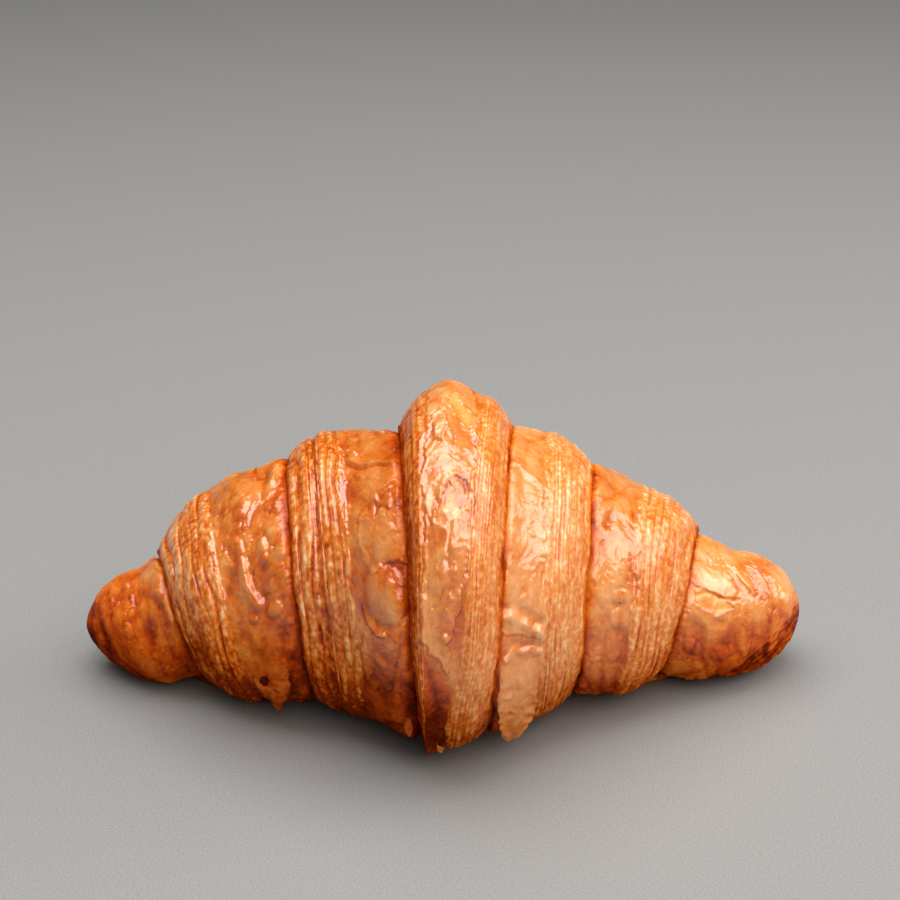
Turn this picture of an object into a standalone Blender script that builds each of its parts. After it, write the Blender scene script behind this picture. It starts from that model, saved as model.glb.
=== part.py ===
"""Croissant: one long triangle of laminated dough rolled up into stacked wraps, baked in one piece.

A centre band stands highest.  On each side of it come a second wrap, a third wrap and a tapering horn.
Every wrap has a smooth skin zone, a ridged zone where the layers of the dough show, and a lip that steps
down into a groove.  The body is one loft of closed rings whose stations follow the slanted wrap edges.
X runs along the roll, +Y is the back to which the horns bend, +Z is up and z = 0 is the flat rest.
"""

import bmesh
import bpy
import numpy as np

MM = 0.001

NAME = "croissant"

# Corners around every ring, and how far a turn of the roll is followed before it closes underneath.
CORNERS = 40
TURN_START_DEG = -60.0
TURN_END_DEG = 240.0

# Cross-section of the roll: a round, slightly flattened shape.
SECTION_POWER = 2.15
SECTION_WIDTH = 1.06

# Each edge of a wrap: distance from the mid-plane, drift outwards per turn of the roll, radius (all mm).
EDGES_MM = {
    "left": {
        "centre_shoulder": (3.6, 1.0, 34.3),
        "centre_lip": (5.4, 8.2, 30.4),
        "second_foot": (6.6, 8.4, 29.4),
        "second_crown": (10.5, 10.0, 29.0),
        "second_shoulder": (15.9, 12.0, 27.6),
        "second_lip": (27.4, 8.0, 24.9),
        "third_foot": (28.8, 8.5, 23.3),
        "third_crown": (34.5, 13.0, 23.7),
        "third_shoulder": (40.9, 17.0, 21.6),
        "third_lip": (51.5, 17.6, 15.2),
        "horn_foot": (53.0, 16.0, 13.4),
        "horn_crown": (56.5, 11.0, 12.6),
        "horn_shoulder": (60.0, 6.0, 11.6),
    },
    "right": {
        "centre_shoulder": (3.0, 15.0, 34.3),
        "centre_lip": (9.8, 9.8, 29.4),
        "second_foot": (11.0, 9.0, 28.0),
        "second_crown": (14.0, 7.0, 28.3),
        "second_shoulder": (17.9, 5.6, 27.8),
        "second_lip": (26.9, 5.4, 23.2),
        "third_foot": (28.2, 6.0, 21.6),
        "third_crown": (32.0, 7.5, 22.0),
        "third_shoulder": (35.6, 9.3, 21.1),
        "third_lip": (45.9, 16.0, 16.2),
        "horn_foot": (47.3, 15.0, 14.9),
        "horn_crown": (52.0, 10.0, 14.3),
        "horn_shoulder": (58.5, 5.0, 13.0),
    },
}

# Extra height of the centre band between its shoulders, and how much fuller the band is on top than below.
CROWN_RISE_MM = 1.0
CENTRE_TOP_SHARE = 0.02

# Rounded end of each horn: where it ends and the power of its rounding.
HORN_END_MM = {"left": 74.9, "right": 74.4}
HORN_POWER = {"left": 0.65, "right": 0.55}

# Centreline of the roll: distance from the mid-plane, set back towards the back, height (mm), lean (degrees).
CENTRELINE = {
    "left": (
        (0.0, 0.0, 32.4, 0.0),
        (6.5, -1.2, 30.0, 1.0),
        (12.0, 2.4, 29.0, 1.6),
        (18.0, 7.3, 27.9, 2.2),
        (27.4, 11.2, 26.1, 3.5),
        (36.0, 12.9, 22.2, 5.0),
        (43.0, 14.4, 20.1, 6.0),
        (51.5, 16.2, 16.0, 7.0),
        (59.5, 17.8, 11.5, 8.5),
        (74.9, 21.5, 9.0, 9.0),
    ),
    "right": (
        (0.0, 0.0, 32.4, 0.0),
        (9.0, 0.0, 30.4, 0.6),
        (14.0, 3.0, 29.2, 0.9),
        (20.0, 7.4, 27.8, 1.2),
        (28.0, 11.2, 25.3, 2.0),
        (36.0, 13.9, 22.0, 3.0),
        (46.0, 16.5, 18.2, 4.0),
        (55.0, 18.6, 13.9, 4.6),
        (62.0, 20.6, 12.4, 5.0),
        (74.4, 24.2, 11.0, 5.0),
    ),
}

# Rings from one edge to the next, and the ridges left by the dough layers in the zones before each lip.
RINGS_BETWEEN = {
    "centre_shoulder": 3,
    "centre_lip": 5,
    "second_foot": 1,
    "second_crown": 3,
    "second_shoulder": 3,
    "second_lip": 10,
    "third_foot": 1,
    "third_crown": 3,
    "third_shoulder": 3,
    "third_lip": 10,
    "horn_foot": 1,
    "horn_crown": 2,
    "horn_shoulder": 2,
    "horn_end": 10,
}
RIDGED_ZONES = ("centre_lip", "second_lip", "third_lip")
RIDGE_HEIGHT_MM = 0.5
SHOULDER_BULGE = 0.16

# Slow unevenness of risen dough: height (mm) and the number of swells along and around the roll.
SWELL_MM = 0.55
SWELL_SEED = 11
SWELL_WAVES = 7

CRUST_COLOUR = (0.56, 0.235, 0.072, 1.0)
CRUST_ROUGHNESS = 0.42


def clear_scene():
    """Remove whatever objects the empty file starts with."""
    for thing in list(bpy.data.objects):
        bpy.data.objects.remove(thing, do_unlink=True)


def smooth_through(x, knots_x, knots_y):
    """Monotone cubic through the knots, level at the first knot and running on straight past the last."""
    kx = np.asarray(knots_x, float)
    ky = np.asarray(knots_y, float)
    step = np.diff(kx)
    slope = np.diff(ky) / step
    m = np.zeros_like(ky)
    m[-1] = slope[-1]
    same = slope[1:] * slope[:-1] > 0.0
    w1 = 2.0 * step[1:] + step[:-1]
    w2 = step[1:] + 2.0 * step[:-1]
    left = np.where(same, slope[:-1], 1.0)
    right = np.where(same, slope[1:], 1.0)
    m[1:-1] = np.where(same, (w1 + w2) / (w1 / left + w2 / right), 0.0)
    inside = np.clip(x, kx[0], kx[-1])
    i = np.clip(np.searchsorted(kx, inside, side="right") - 1, 0, len(kx) - 2)
    h = step[i]
    t = (inside - kx[i]) / h
    a = ky[i] * (1.0 + 2.0 * t) * (1.0 - t) ** 2
    b = ky[i + 1] * t * t * (3.0 - 2.0 * t)
    c = h * m[i] * t * (1.0 - t) ** 2
    d = h * m[i + 1] * t * t * (t - 1.0)
    beyond = np.where(x > kx[-1], (x - kx[-1]) * m[-1], 0.0)
    return a + b + c + d + beyond


def turn_share(angle):
    """Share of a turn at an angle (front 0, top a quarter), eased back to its start under the roll."""
    degrees = np.mod(np.degrees(angle) + 90.0, 360.0) - 90.0
    low = TURN_START_DEG / 360.0
    high = TURN_END_DEG / 360.0
    gap = 360.0 - (TURN_END_DEG - TURN_START_DEG)
    past = np.where(degrees > TURN_END_DEG, degrees - TURN_END_DEG, degrees + 360.0 - TURN_END_DEG)
    ease = np.clip(past / gap, 0.0, 1.0)
    ease = ease * ease * (3.0 - 2.0 * ease)
    under = (degrees > TURN_END_DEG) | (degrees < TURN_START_DEG)
    return np.where(under, high + (low - high) * ease, degrees / 360.0)


def section(angle):
    """Unit cross-section: front-to-back and up parts at an angle."""
    c = np.cos(angle)
    s = np.sin(angle)
    r = (np.abs(c / SECTION_WIDTH) ** SECTION_POWER + np.abs(s) ** SECTION_POWER) ** (-1.0 / SECTION_POWER)
    return r * c, r * s


def swell(along, angle):
    """Sum of a few slow waves along and around the roll, between about -1 and 1."""
    rng = np.random.default_rng(SWELL_SEED)
    total = np.zeros(np.broadcast(along, angle).shape)
    for _ in range(SWELL_WAVES):
        length = rng.uniform(14.0, 34.0)
        around = rng.integers(1, 5)
        phase = rng.uniform(0.0, 2.0 * np.pi, 2)
        total = total + np.sin(2.0 * np.pi * along / length + phase[0]) * np.cos(around * angle + phase[1])
    return total / SWELL_WAVES ** 0.5


def zone_radius(name, r0, r1, t, ring_count):
    """Radius across one zone: layers step down with ridges before a lip, the rest is eased."""
    if name in RIDGED_ZONES:
        bulge = SHOULDER_BULGE * np.abs(r0 - r1) * 4.0 * t * (1.0 - t)
        fall = r0 + (r1 - r0) * t ** 1.5 + bulge
        index = np.rint(t * ring_count)
        ridge = np.where(np.mod(index, 2.0) > 0.5, 0.5, -0.5) * RIDGE_HEIGHT_MM
        return fall + ridge * np.sin(np.pi * np.clip(t * 1.15, 0.0, 1.0)) ** 0.5
    ease = t * t * (3.0 - 2.0 * t)
    return r0 + (r1 - r0) * ease


def crown_radius(side, angle):
    """Radius of the centre band midway between its shoulders."""
    rise = CROWN_RISE_MM * (0.5 + 0.5 * np.sin(angle))
    return EDGES_MM[side]["centre_shoulder"][2] * (1.0 + CENTRE_TOP_SHARE * np.sin(angle)) + rise


def side_rings(side, angle):
    """Positions along the roll and radii for the rings of one side, from the first ring past the mid-plane out."""
    share = turn_share(angle)
    edges = EDGES_MM[side]
    sign = -1.0 if side == "left" else 1.0
    other = EDGES_MM["right" if side == "left" else "left"]["centre_shoulder"]
    middle = 0.5 * (edges["centre_shoulder"][0] + edges["centre_shoulder"][1] * share)
    middle = middle - 0.5 * (other[0] + other[1] * share)
    at = middle
    radius = crown_radius(side, angle)
    rows = []
    for name, count in RINGS_BETWEEN.items():
        if name == "horn_end":
            continue
        x0, drift, r1 = edges[name]
        if name in ("centre_shoulder", "centre_lip"):
            r1 = r1 * (1.0 + CENTRE_TOP_SHARE * np.sin(angle))
        goal = x0 + drift * share
        for k in range(1, count + 1):
            t = k / count
            rows.append((at + (goal - at) * t, zone_radius(name, radius, r1, t, count)))
        at = goal
        radius = r1
    end = HORN_END_MM[side]
    count = RINGS_BETWEEN["horn_end"]
    for k in range(1, count):
        t = np.sin(0.5 * np.pi * k / count)
        rounding = (1.0 - t ** 1.8) ** HORN_POWER[side]
        rows.append((at + (end - at) * t, radius * rounding))
    return sign, middle, rows


def ring_points(side, along, radius, angle):
    """One closed ring of points (mm) around the centreline, resting on z = 0."""
    sign = -1.0 if side == "left" else 1.0
    line = np.array(CENTRELINE[side])
    reach = np.abs(along)
    back = smooth_through(reach, line[:, 0], line[:, 1])
    height = smooth_through(reach, line[:, 0], line[:, 2])
    lean = np.radians(smooth_through(reach, line[:, 0], line[:, 3]))
    deep, tall = section(angle)
    uneven = radius + SWELL_MM * swell(sign * along, angle) * np.clip(radius / 20.0, 0.0, 1.0)
    x = sign * along + uneven * tall * np.sin(lean) * sign
    y = back - uneven * deep
    z = height + uneven * tall * np.cos(lean)
    return np.stack([x, y, np.maximum(z, 0.0)], axis=-1)


def loft(rings, first_tip, last_tip):
    """Closed mesh through the rings with a pole at each end."""
    mesh = bmesh.new()
    rows = []
    for ring in rings:
        rows.append([mesh.verts.new(tuple(p * MM)) for p in ring])
    start = mesh.verts.new(tuple(first_tip * MM))
    finish = mesh.verts.new(tuple(last_tip * MM))
    count = len(rows[0])
    for a, b in zip(rows[:-1], rows[1:]):
        for j in range(count):
            k = (j + 1) % count
            mesh.faces.new((a[j], b[j], b[k]))
            mesh.faces.new((a[j], b[k], a[k]))
    for j in range(count):
        k = (j + 1) % count
        mesh.faces.new((start, rows[0][j], rows[0][k]))
        mesh.faces.new((finish, rows[-1][k], rows[-1][j]))
    bmesh.ops.recalc_face_normals(mesh, faces=mesh.faces)
    return mesh


def crust_material():
    """Glazed, baked crust."""
    material = bpy.data.materials.new("baked_crust")
    material.use_nodes = True
    shader = material.node_tree.nodes["Principled BSDF"]
    shader.inputs["Base Color"].default_value = CRUST_COLOUR
    shader.inputs["Roughness"].default_value = CRUST_ROUGHNESS
    shader.inputs["Metallic"].default_value = 0.0
    return material


def build_croissant(collection):
    """Loft the whole roll as one closed body and stand it on z = 0, centred in plan."""
    angle = np.linspace(0.0, 2.0 * np.pi, CORNERS, endpoint=False) - 0.5 * np.pi
    rings = []
    tips = []
    for side in ("left", "right"):
        sign, middle, rows = side_rings(side, angle)
        points = [ring_points(side, along, radius, angle) for along, radius in rows]
        tip = ring_points(side, HORN_END_MM[side] + 0.4 + 0.0 * angle, 0.0 * angle, angle)
        tips.append(tip[0])
        if side == "left":
            rings.extend(points[::-1])
            centre = ring_points(side, middle, crown_radius(side, angle), angle)
            rings.append(centre)
        else:
            rings.extend(points)
    every = np.concatenate(rings + [np.array(tips)])
    low = every.min(axis=0)
    high = every.max(axis=0)
    shift = np.array([-0.5 * (low[0] + high[0]), -0.5 * (low[1] + high[1]), -low[2]])
    rings = [ring + shift for ring in rings]
    mesh = loft(rings, tips[0] + shift, tips[1] + shift)
    data = bpy.data.meshes.new(NAME)
    mesh.to_mesh(data)
    mesh.free()
    thing = bpy.data.objects.new(NAME, data)
    collection.objects.link(thing)
    data.materials.append(crust_material())
    data.shade_smooth()
    return thing


def main():
    """Build the croissant in a collection of its own."""
    clear_scene()
    collection = bpy.data.collections.new(NAME)
    bpy.context.scene.collection.children.link(collection)
    build_croissant(collection)


main()
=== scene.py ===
"""Croissant: the finished look of one rolled, laminated and glazed pastry.

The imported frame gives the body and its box.  Over it lie overlapping sheaths of crust: a centre band, and on
each side a second wrap, a third wrap and a horn.  Each sheath is a grid over the way across the wrap and the
angle round the roll.  Its height is worked out in numpy from the same named sizes as the body, then relief is
added: dough layers opened at the edges, glazed skin with blisters, folds, creases and torn leaves.
X runs along the roll, +Y is the back, +Z is up and z = 0 is the table.  Sizes are in millimetres until a mesh
is written.
"""

import logging
import math
from dataclasses import dataclass, field
from enum import Enum
from typing import Sequence

import bpy
import numpy as np
from numpy.typing import NDArray
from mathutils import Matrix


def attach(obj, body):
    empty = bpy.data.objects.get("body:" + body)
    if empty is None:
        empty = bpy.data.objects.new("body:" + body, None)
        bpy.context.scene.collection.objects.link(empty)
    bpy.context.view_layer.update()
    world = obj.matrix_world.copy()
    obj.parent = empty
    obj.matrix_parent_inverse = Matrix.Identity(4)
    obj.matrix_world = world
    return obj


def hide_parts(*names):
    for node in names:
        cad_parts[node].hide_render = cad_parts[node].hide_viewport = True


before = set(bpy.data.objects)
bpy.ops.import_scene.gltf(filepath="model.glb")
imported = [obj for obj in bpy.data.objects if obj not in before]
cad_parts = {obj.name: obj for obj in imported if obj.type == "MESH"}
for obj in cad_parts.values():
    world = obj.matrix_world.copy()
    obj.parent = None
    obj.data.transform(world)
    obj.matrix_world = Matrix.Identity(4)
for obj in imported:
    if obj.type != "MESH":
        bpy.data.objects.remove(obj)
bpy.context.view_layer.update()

Array = NDArray[np.float64]
Path = tuple[tuple[float, float], ...]
LOG = logging.getLogger("croissant")
MM = 0.001
NODE = "croissant"
BODY = "root"


class Side(Enum):
    """Which half of the roll, by the sign of X."""

    LEFT = -1
    RIGHT = 1


class Order(Enum):
    """Which wrap, counted outwards from the centre band."""

    SECOND = "second"
    THIRD = "third"


# --------------------------------------------------------------------------------------------------------------
# The roll
# --------------------------------------------------------------------------------------------------------------


@dataclass(frozen=True)
class Edge:
    """One line round the roll: how far out, how far it drifts per turn, and the radius there, in mm."""

    out: float
    drift: float
    radius: float


EDGES: dict[Side, dict[str, Edge]] = {
    Side.LEFT: {
        "centre_shoulder": Edge(3.6, 1.0, 34.3),
        "centre_lip": Edge(5.4, 8.2, 30.4),
        "second_foot": Edge(6.6, 8.4, 29.4),
        "second_crown": Edge(10.5, 10.0, 29.0),
        "second_shoulder": Edge(15.9, 12.0, 27.6),
        "second_lip": Edge(27.4, 8.0, 24.9),
        "third_foot": Edge(28.8, 8.5, 23.3),
        "third_crown": Edge(34.5, 13.0, 23.7),
        "third_shoulder": Edge(40.9, 17.0, 21.6),
        "third_lip": Edge(51.5, 17.6, 15.2),
        "horn_foot": Edge(53.0, 16.0, 13.4),
        "horn_crown": Edge(56.5, 11.0, 12.6),
        "horn_shoulder": Edge(60.0, 6.0, 11.6),
    },
    Side.RIGHT: {
        "centre_shoulder": Edge(3.0, 15.0, 34.3),
        "centre_lip": Edge(9.8, 9.8, 29.4),
        "second_foot": Edge(11.0, 9.0, 28.0),
        "second_crown": Edge(14.0, 7.0, 28.3),
        "second_shoulder": Edge(17.9, 5.6, 27.8),
        "second_lip": Edge(26.9, 5.4, 23.2),
        "third_foot": Edge(28.2, 6.0, 21.6),
        "third_crown": Edge(32.0, 7.5, 22.0),
        "third_shoulder": Edge(35.6, 9.3, 21.1),
        "third_lip": Edge(45.9, 16.0, 16.2),
        "horn_foot": Edge(47.3, 15.0, 14.9),
        "horn_crown": Edge(52.0, 10.0, 14.3),
        "horn_shoulder": Edge(58.5, 5.0, 13.0),
    },
}

# Distance out, set back towards the back, height (mm) and lean (degrees) of the line through the roll.
CENTRELINE: dict[Side, tuple[tuple[float, float, float, float], ...]] = {
    Side.LEFT: (
        (0.0, 0.0, 32.4, 0.0),
        (6.5, -1.2, 30.0, 1.0),
        (12.0, 2.4, 29.0, 1.6),
        (18.0, 7.3, 27.9, 2.2),
        (27.4, 11.2, 26.1, 3.5),
        (36.0, 12.9, 22.2, 5.0),
        (43.0, 14.4, 20.1, 6.0),
        (51.5, 16.2, 16.0, 7.0),
        (59.5, 17.8, 11.5, 8.5),
        (74.9, 21.5, 9.0, 9.0),
    ),
    Side.RIGHT: (
        (0.0, 0.0, 32.4, 0.0),
        (9.0, 0.0, 30.4, 0.6),
        (14.0, 3.0, 29.2, 0.9),
        (20.0, 7.4, 27.8, 1.2),
        (28.0, 11.2, 25.3, 2.0),
        (36.0, 13.9, 22.0, 3.0),
        (46.0, 16.5, 18.2, 4.0),
        (55.0, 18.6, 13.9, 4.6),
        (62.0, 20.6, 12.4, 5.0),
        (74.4, 24.2, 11.0, 5.0),
    ),
}


def smooth_through(x: Array, knots_x: Array, knots_y: Array) -> Array:
    """Monotone cubic through the knots, level at the first one and straight past the last.

    Args:
        x: Where to evaluate.
        knots_x: Rising knot positions.
        knots_y: Knot values.

    Returns:
        The curve's values: a Hermite cubic per span whose slopes are the weighted harmonic means of the
        neighbouring chords, so it never overshoots.
    """
    step = np.diff(knots_x)
    slope = np.diff(knots_y) / step
    m = np.zeros_like(knots_y)
    m[-1] = slope[-1]
    same = slope[1:] * slope[:-1] > 0.0
    w1 = 2.0 * step[1:] + step[:-1]
    w2 = step[1:] + 2.0 * step[:-1]
    before = np.where(same, slope[:-1], 1.0)
    after = np.where(same, slope[1:], 1.0)
    m[1:-1] = np.where(same, (w1 + w2) / (w1 / before + w2 / after), 0.0)
    inside = np.clip(x, knots_x[0], knots_x[-1])
    i = np.clip(np.searchsorted(knots_x, inside, side="right") - 1, 0, len(knots_x) - 2)
    h = step[i]
    t = (inside - knots_x[i]) / h
    value = knots_y[i] * (1.0 + 2.0 * t) * (1.0 - t) ** 2 + knots_y[i + 1] * t * t * (3.0 - 2.0 * t)
    value = value + h * m[i] * t * (1.0 - t) ** 2 + h * m[i + 1] * t * t * (t - 1.0)
    return value + np.maximum(x - knots_x[-1], 0.0) * m[-1]


def ease(value: Array, low: float, high: float) -> Array:
    """Smooth step from 0 at low to 1 at high: 3t^2 - 2t^3 on the clipped share."""
    t = np.clip((value - low) / (high - low), 0.0, 1.0)
    return t * t * (3.0 - 2.0 * t)


@dataclass(frozen=True)
class Roll:
    """The rolled body as a whole: its bent centreline, its cross-section and its slow swells."""

    section_power: float = 2.15
    section_width: float = 1.06
    turn_start: float = -60.0
    turn_end: float = 240.0
    swell_height: float = 0.55
    swell_seed: int = 11
    swell_waves: int = 7
    recentre: tuple[float, float] = (0.25, -1.3046)
    floor: float = 0.05

    def turn_share(self, angle: Array) -> Array:
        """Share of a turn (front 0, top a quarter), eased back to its start under the roll.

        Args:
            angle: Angles round the roll in radians.

        Returns:
            The share at each angle.
        """
        degrees = np.mod(np.degrees(angle) + 90.0, 360.0) - 90.0
        low = self.turn_start / 360.0
        high = self.turn_end / 360.0
        gap = 360.0 - (self.turn_end - self.turn_start)
        past = np.where(degrees > self.turn_end, degrees, degrees + 360.0) - self.turn_end
        under = (degrees > self.turn_end) | (degrees < self.turn_start)
        return np.where(under, high + (low - high) * ease(past, 0.0, gap), degrees / 360.0)

    def section(self, angle: Array) -> tuple[Array, Array]:
        """Front-to-back and up parts of the unit cross-section, a superellipse a little wider than tall.

        Args:
            angle: Angles round the roll in radians.

        Returns:
            Two arrays, the depth part and the height part.
        """
        c = np.cos(angle)
        s = np.sin(angle)
        wide = np.abs(c / self.section_width) ** self.section_power
        size = (wide + np.abs(s) ** self.section_power) ** (-1.0 / self.section_power)
        return size * c, size * s

    def swell(self, x: Array, angle: Array) -> Array:
        """Slow unevenness of risen dough: a sum of standing waves along and around the roll.

        Args:
            x: Position along the roll in mm.
            angle: Angle round the roll in radians.

        Returns:
            The swell, between about -1 and 1.
        """
        rng = np.random.default_rng(self.swell_seed)
        total = np.zeros(np.broadcast(x, angle).shape)
        for _ in range(self.swell_waves):
            length = rng.uniform(14.0, 34.0)
            around = rng.integers(1, 5)
            phase = rng.uniform(0.0, 2.0 * np.pi, 2)
            total = total + np.sin(2.0 * np.pi * x / length + phase[0]) * np.cos(around * angle + phase[1])
        return total / self.swell_waves**0.5

    def line(self, side: Side, edge: Edge, share: Array) -> Array:
        """Signed X of an edge line: side times (out + drift times the share of a turn)."""
        return side.value * (edge.out + edge.drift * share)

    def place(self, x: Array, radius: Array, angle: Array) -> Array:
        """Points of the roll's surface in mm, in the frame of the body.

        Args:
            x: Signed position along the roll.
            radius: Distance from the centreline, before the slow swell is added.
            angle: Angle round the roll, 0 at the front and a quarter turn on top.

        Returns:
            Array with a last axis of 3: centreline plus the leaning cross-section, held above the table.
        """
        reach = np.abs(x)
        parts = []
        for column in (1, 2, 3):
            left = np.array(CENTRELINE[Side.LEFT])
            right = np.array(CENTRELINE[Side.RIGHT])
            a = smooth_through(reach, left[:, 0], left[:, column])
            b = smooth_through(reach, right[:, 0], right[:, column])
            parts.append(np.where(x < 0.0, a, b))
        back, height, lean = parts
        lean = np.radians(lean) * np.sign(x)
        deep, tall = self.section(angle)
        full = radius + self.swell_height * self.swell(x, angle) * np.clip(radius / 20.0, 0.0, 1.0)
        px = x + full * tall * np.sin(lean) + self.recentre[0]
        py = back - full * deep + self.recentre[1]
        pz = height + full * tall * np.cos(lean)
        return np.stack([px, py, np.maximum(pz, self.floor)], axis=-1)


ROLL = Roll()


# --------------------------------------------------------------------------------------------------------------
# Noise
# --------------------------------------------------------------------------------------------------------------


def lattice_slot(corner: NDArray[np.int64]) -> NDArray[np.int64]:
    """Table slot 0..511 of whole-number lattice corners, by mixing their three numbers."""
    key = corner[..., 0] * 73856093 ^ corner[..., 1] * 19349663 ^ corner[..., 2] * 83492791
    return np.bitwise_and(key ^ (key >> 9), 511)


def gradient_noise(p: Array, seed: int) -> Array:
    """Smooth noise in about -1..1: each lattice corner has a random direction, blended by quintic weights.

    Args:
        p: Points, last axis 3, already divided by the wanted size.
        seed: Which noise.

    Returns:
        One value per point.
    """
    rng = np.random.default_rng(seed)
    table = rng.normal(size=(512, 3))
    table /= np.linalg.norm(table, axis=1, keepdims=True)
    cell = np.floor(p).astype(np.int64)
    f = p - cell
    w = f * f * f * (f * (f * 6.0 - 15.0) + 10.0)
    total = np.zeros(p.shape[:-1])
    for dx in (0, 1):
        for dy in (0, 1):
            for dz in (0, 1):
                way = table[lattice_slot(cell + np.array([dx, dy, dz]))]
                reach = f - np.array([dx, dy, dz])
                part = np.where(dx, w[..., 0], 1.0 - w[..., 0])
                part = part * np.where(dy, w[..., 1], 1.0 - w[..., 1])
                part = part * np.where(dz, w[..., 2], 1.0 - w[..., 2])
                total += part * np.sum(way * reach, axis=-1)
    return total * 1.7


def cloud(p: Array, size: float, seed: int, octaves: int = 3, gain: float = 0.5) -> Array:
    """Sum of gradient noises, each half the size and gain times the height of the one before.

    Args:
        p: Points in mm, last axis 3.
        size: Size of the largest lumps in mm.
        seed: Which noise.
        octaves: How many noises are added.
        gain: Height ratio of one noise to the one before.

    Returns:
        One value per point, in about -1..1.
    """
    total = np.zeros(p.shape[:-1])
    norm = 0.0
    for k in range(octaves):
        height = gain**k
        total += height * gradient_noise(p * (2.0**k / size) + 17.3 * k, seed + k)
        norm += height
    return total / norm



def cells(p: Array, seed: int) -> tuple[Array, Array, Array]:
    """Distances to the two nearest of many scattered centres, one centre in each unit cube.

    Args:
        p: Points, last axis 3, already divided by the wanted size.
        seed: Which scatter.

    Returns:
        Distance to the nearest centre, to the second nearest, and the nearest one's own number in 0..1.
    """
    rng = np.random.default_rng(seed)
    spot = rng.random((512, 3))
    number = rng.random(512)
    cube = np.floor(p).astype(np.int64)
    f = p - cube
    near = np.full(p.shape[:-1], 9.0)
    far = np.full(p.shape[:-1], 9.0)
    own = np.zeros(p.shape[:-1])
    for offset in np.ndindex(3, 3, 3):
        move = np.array(offset) - 1
        slot = lattice_slot(cube + move)
        gap = np.linalg.norm(f - move - spot[slot], axis=-1)
        closer = gap < near
        far = np.where(closer, near, np.minimum(far, gap))
        own = np.where(closer, number[slot], own)
        near = np.where(closer, gap, near)
    return near, far, own


# --------------------------------------------------------------------------------------------------------------
# A sheet of crust as a field of values on a grid
# --------------------------------------------------------------------------------------------------------------


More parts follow.
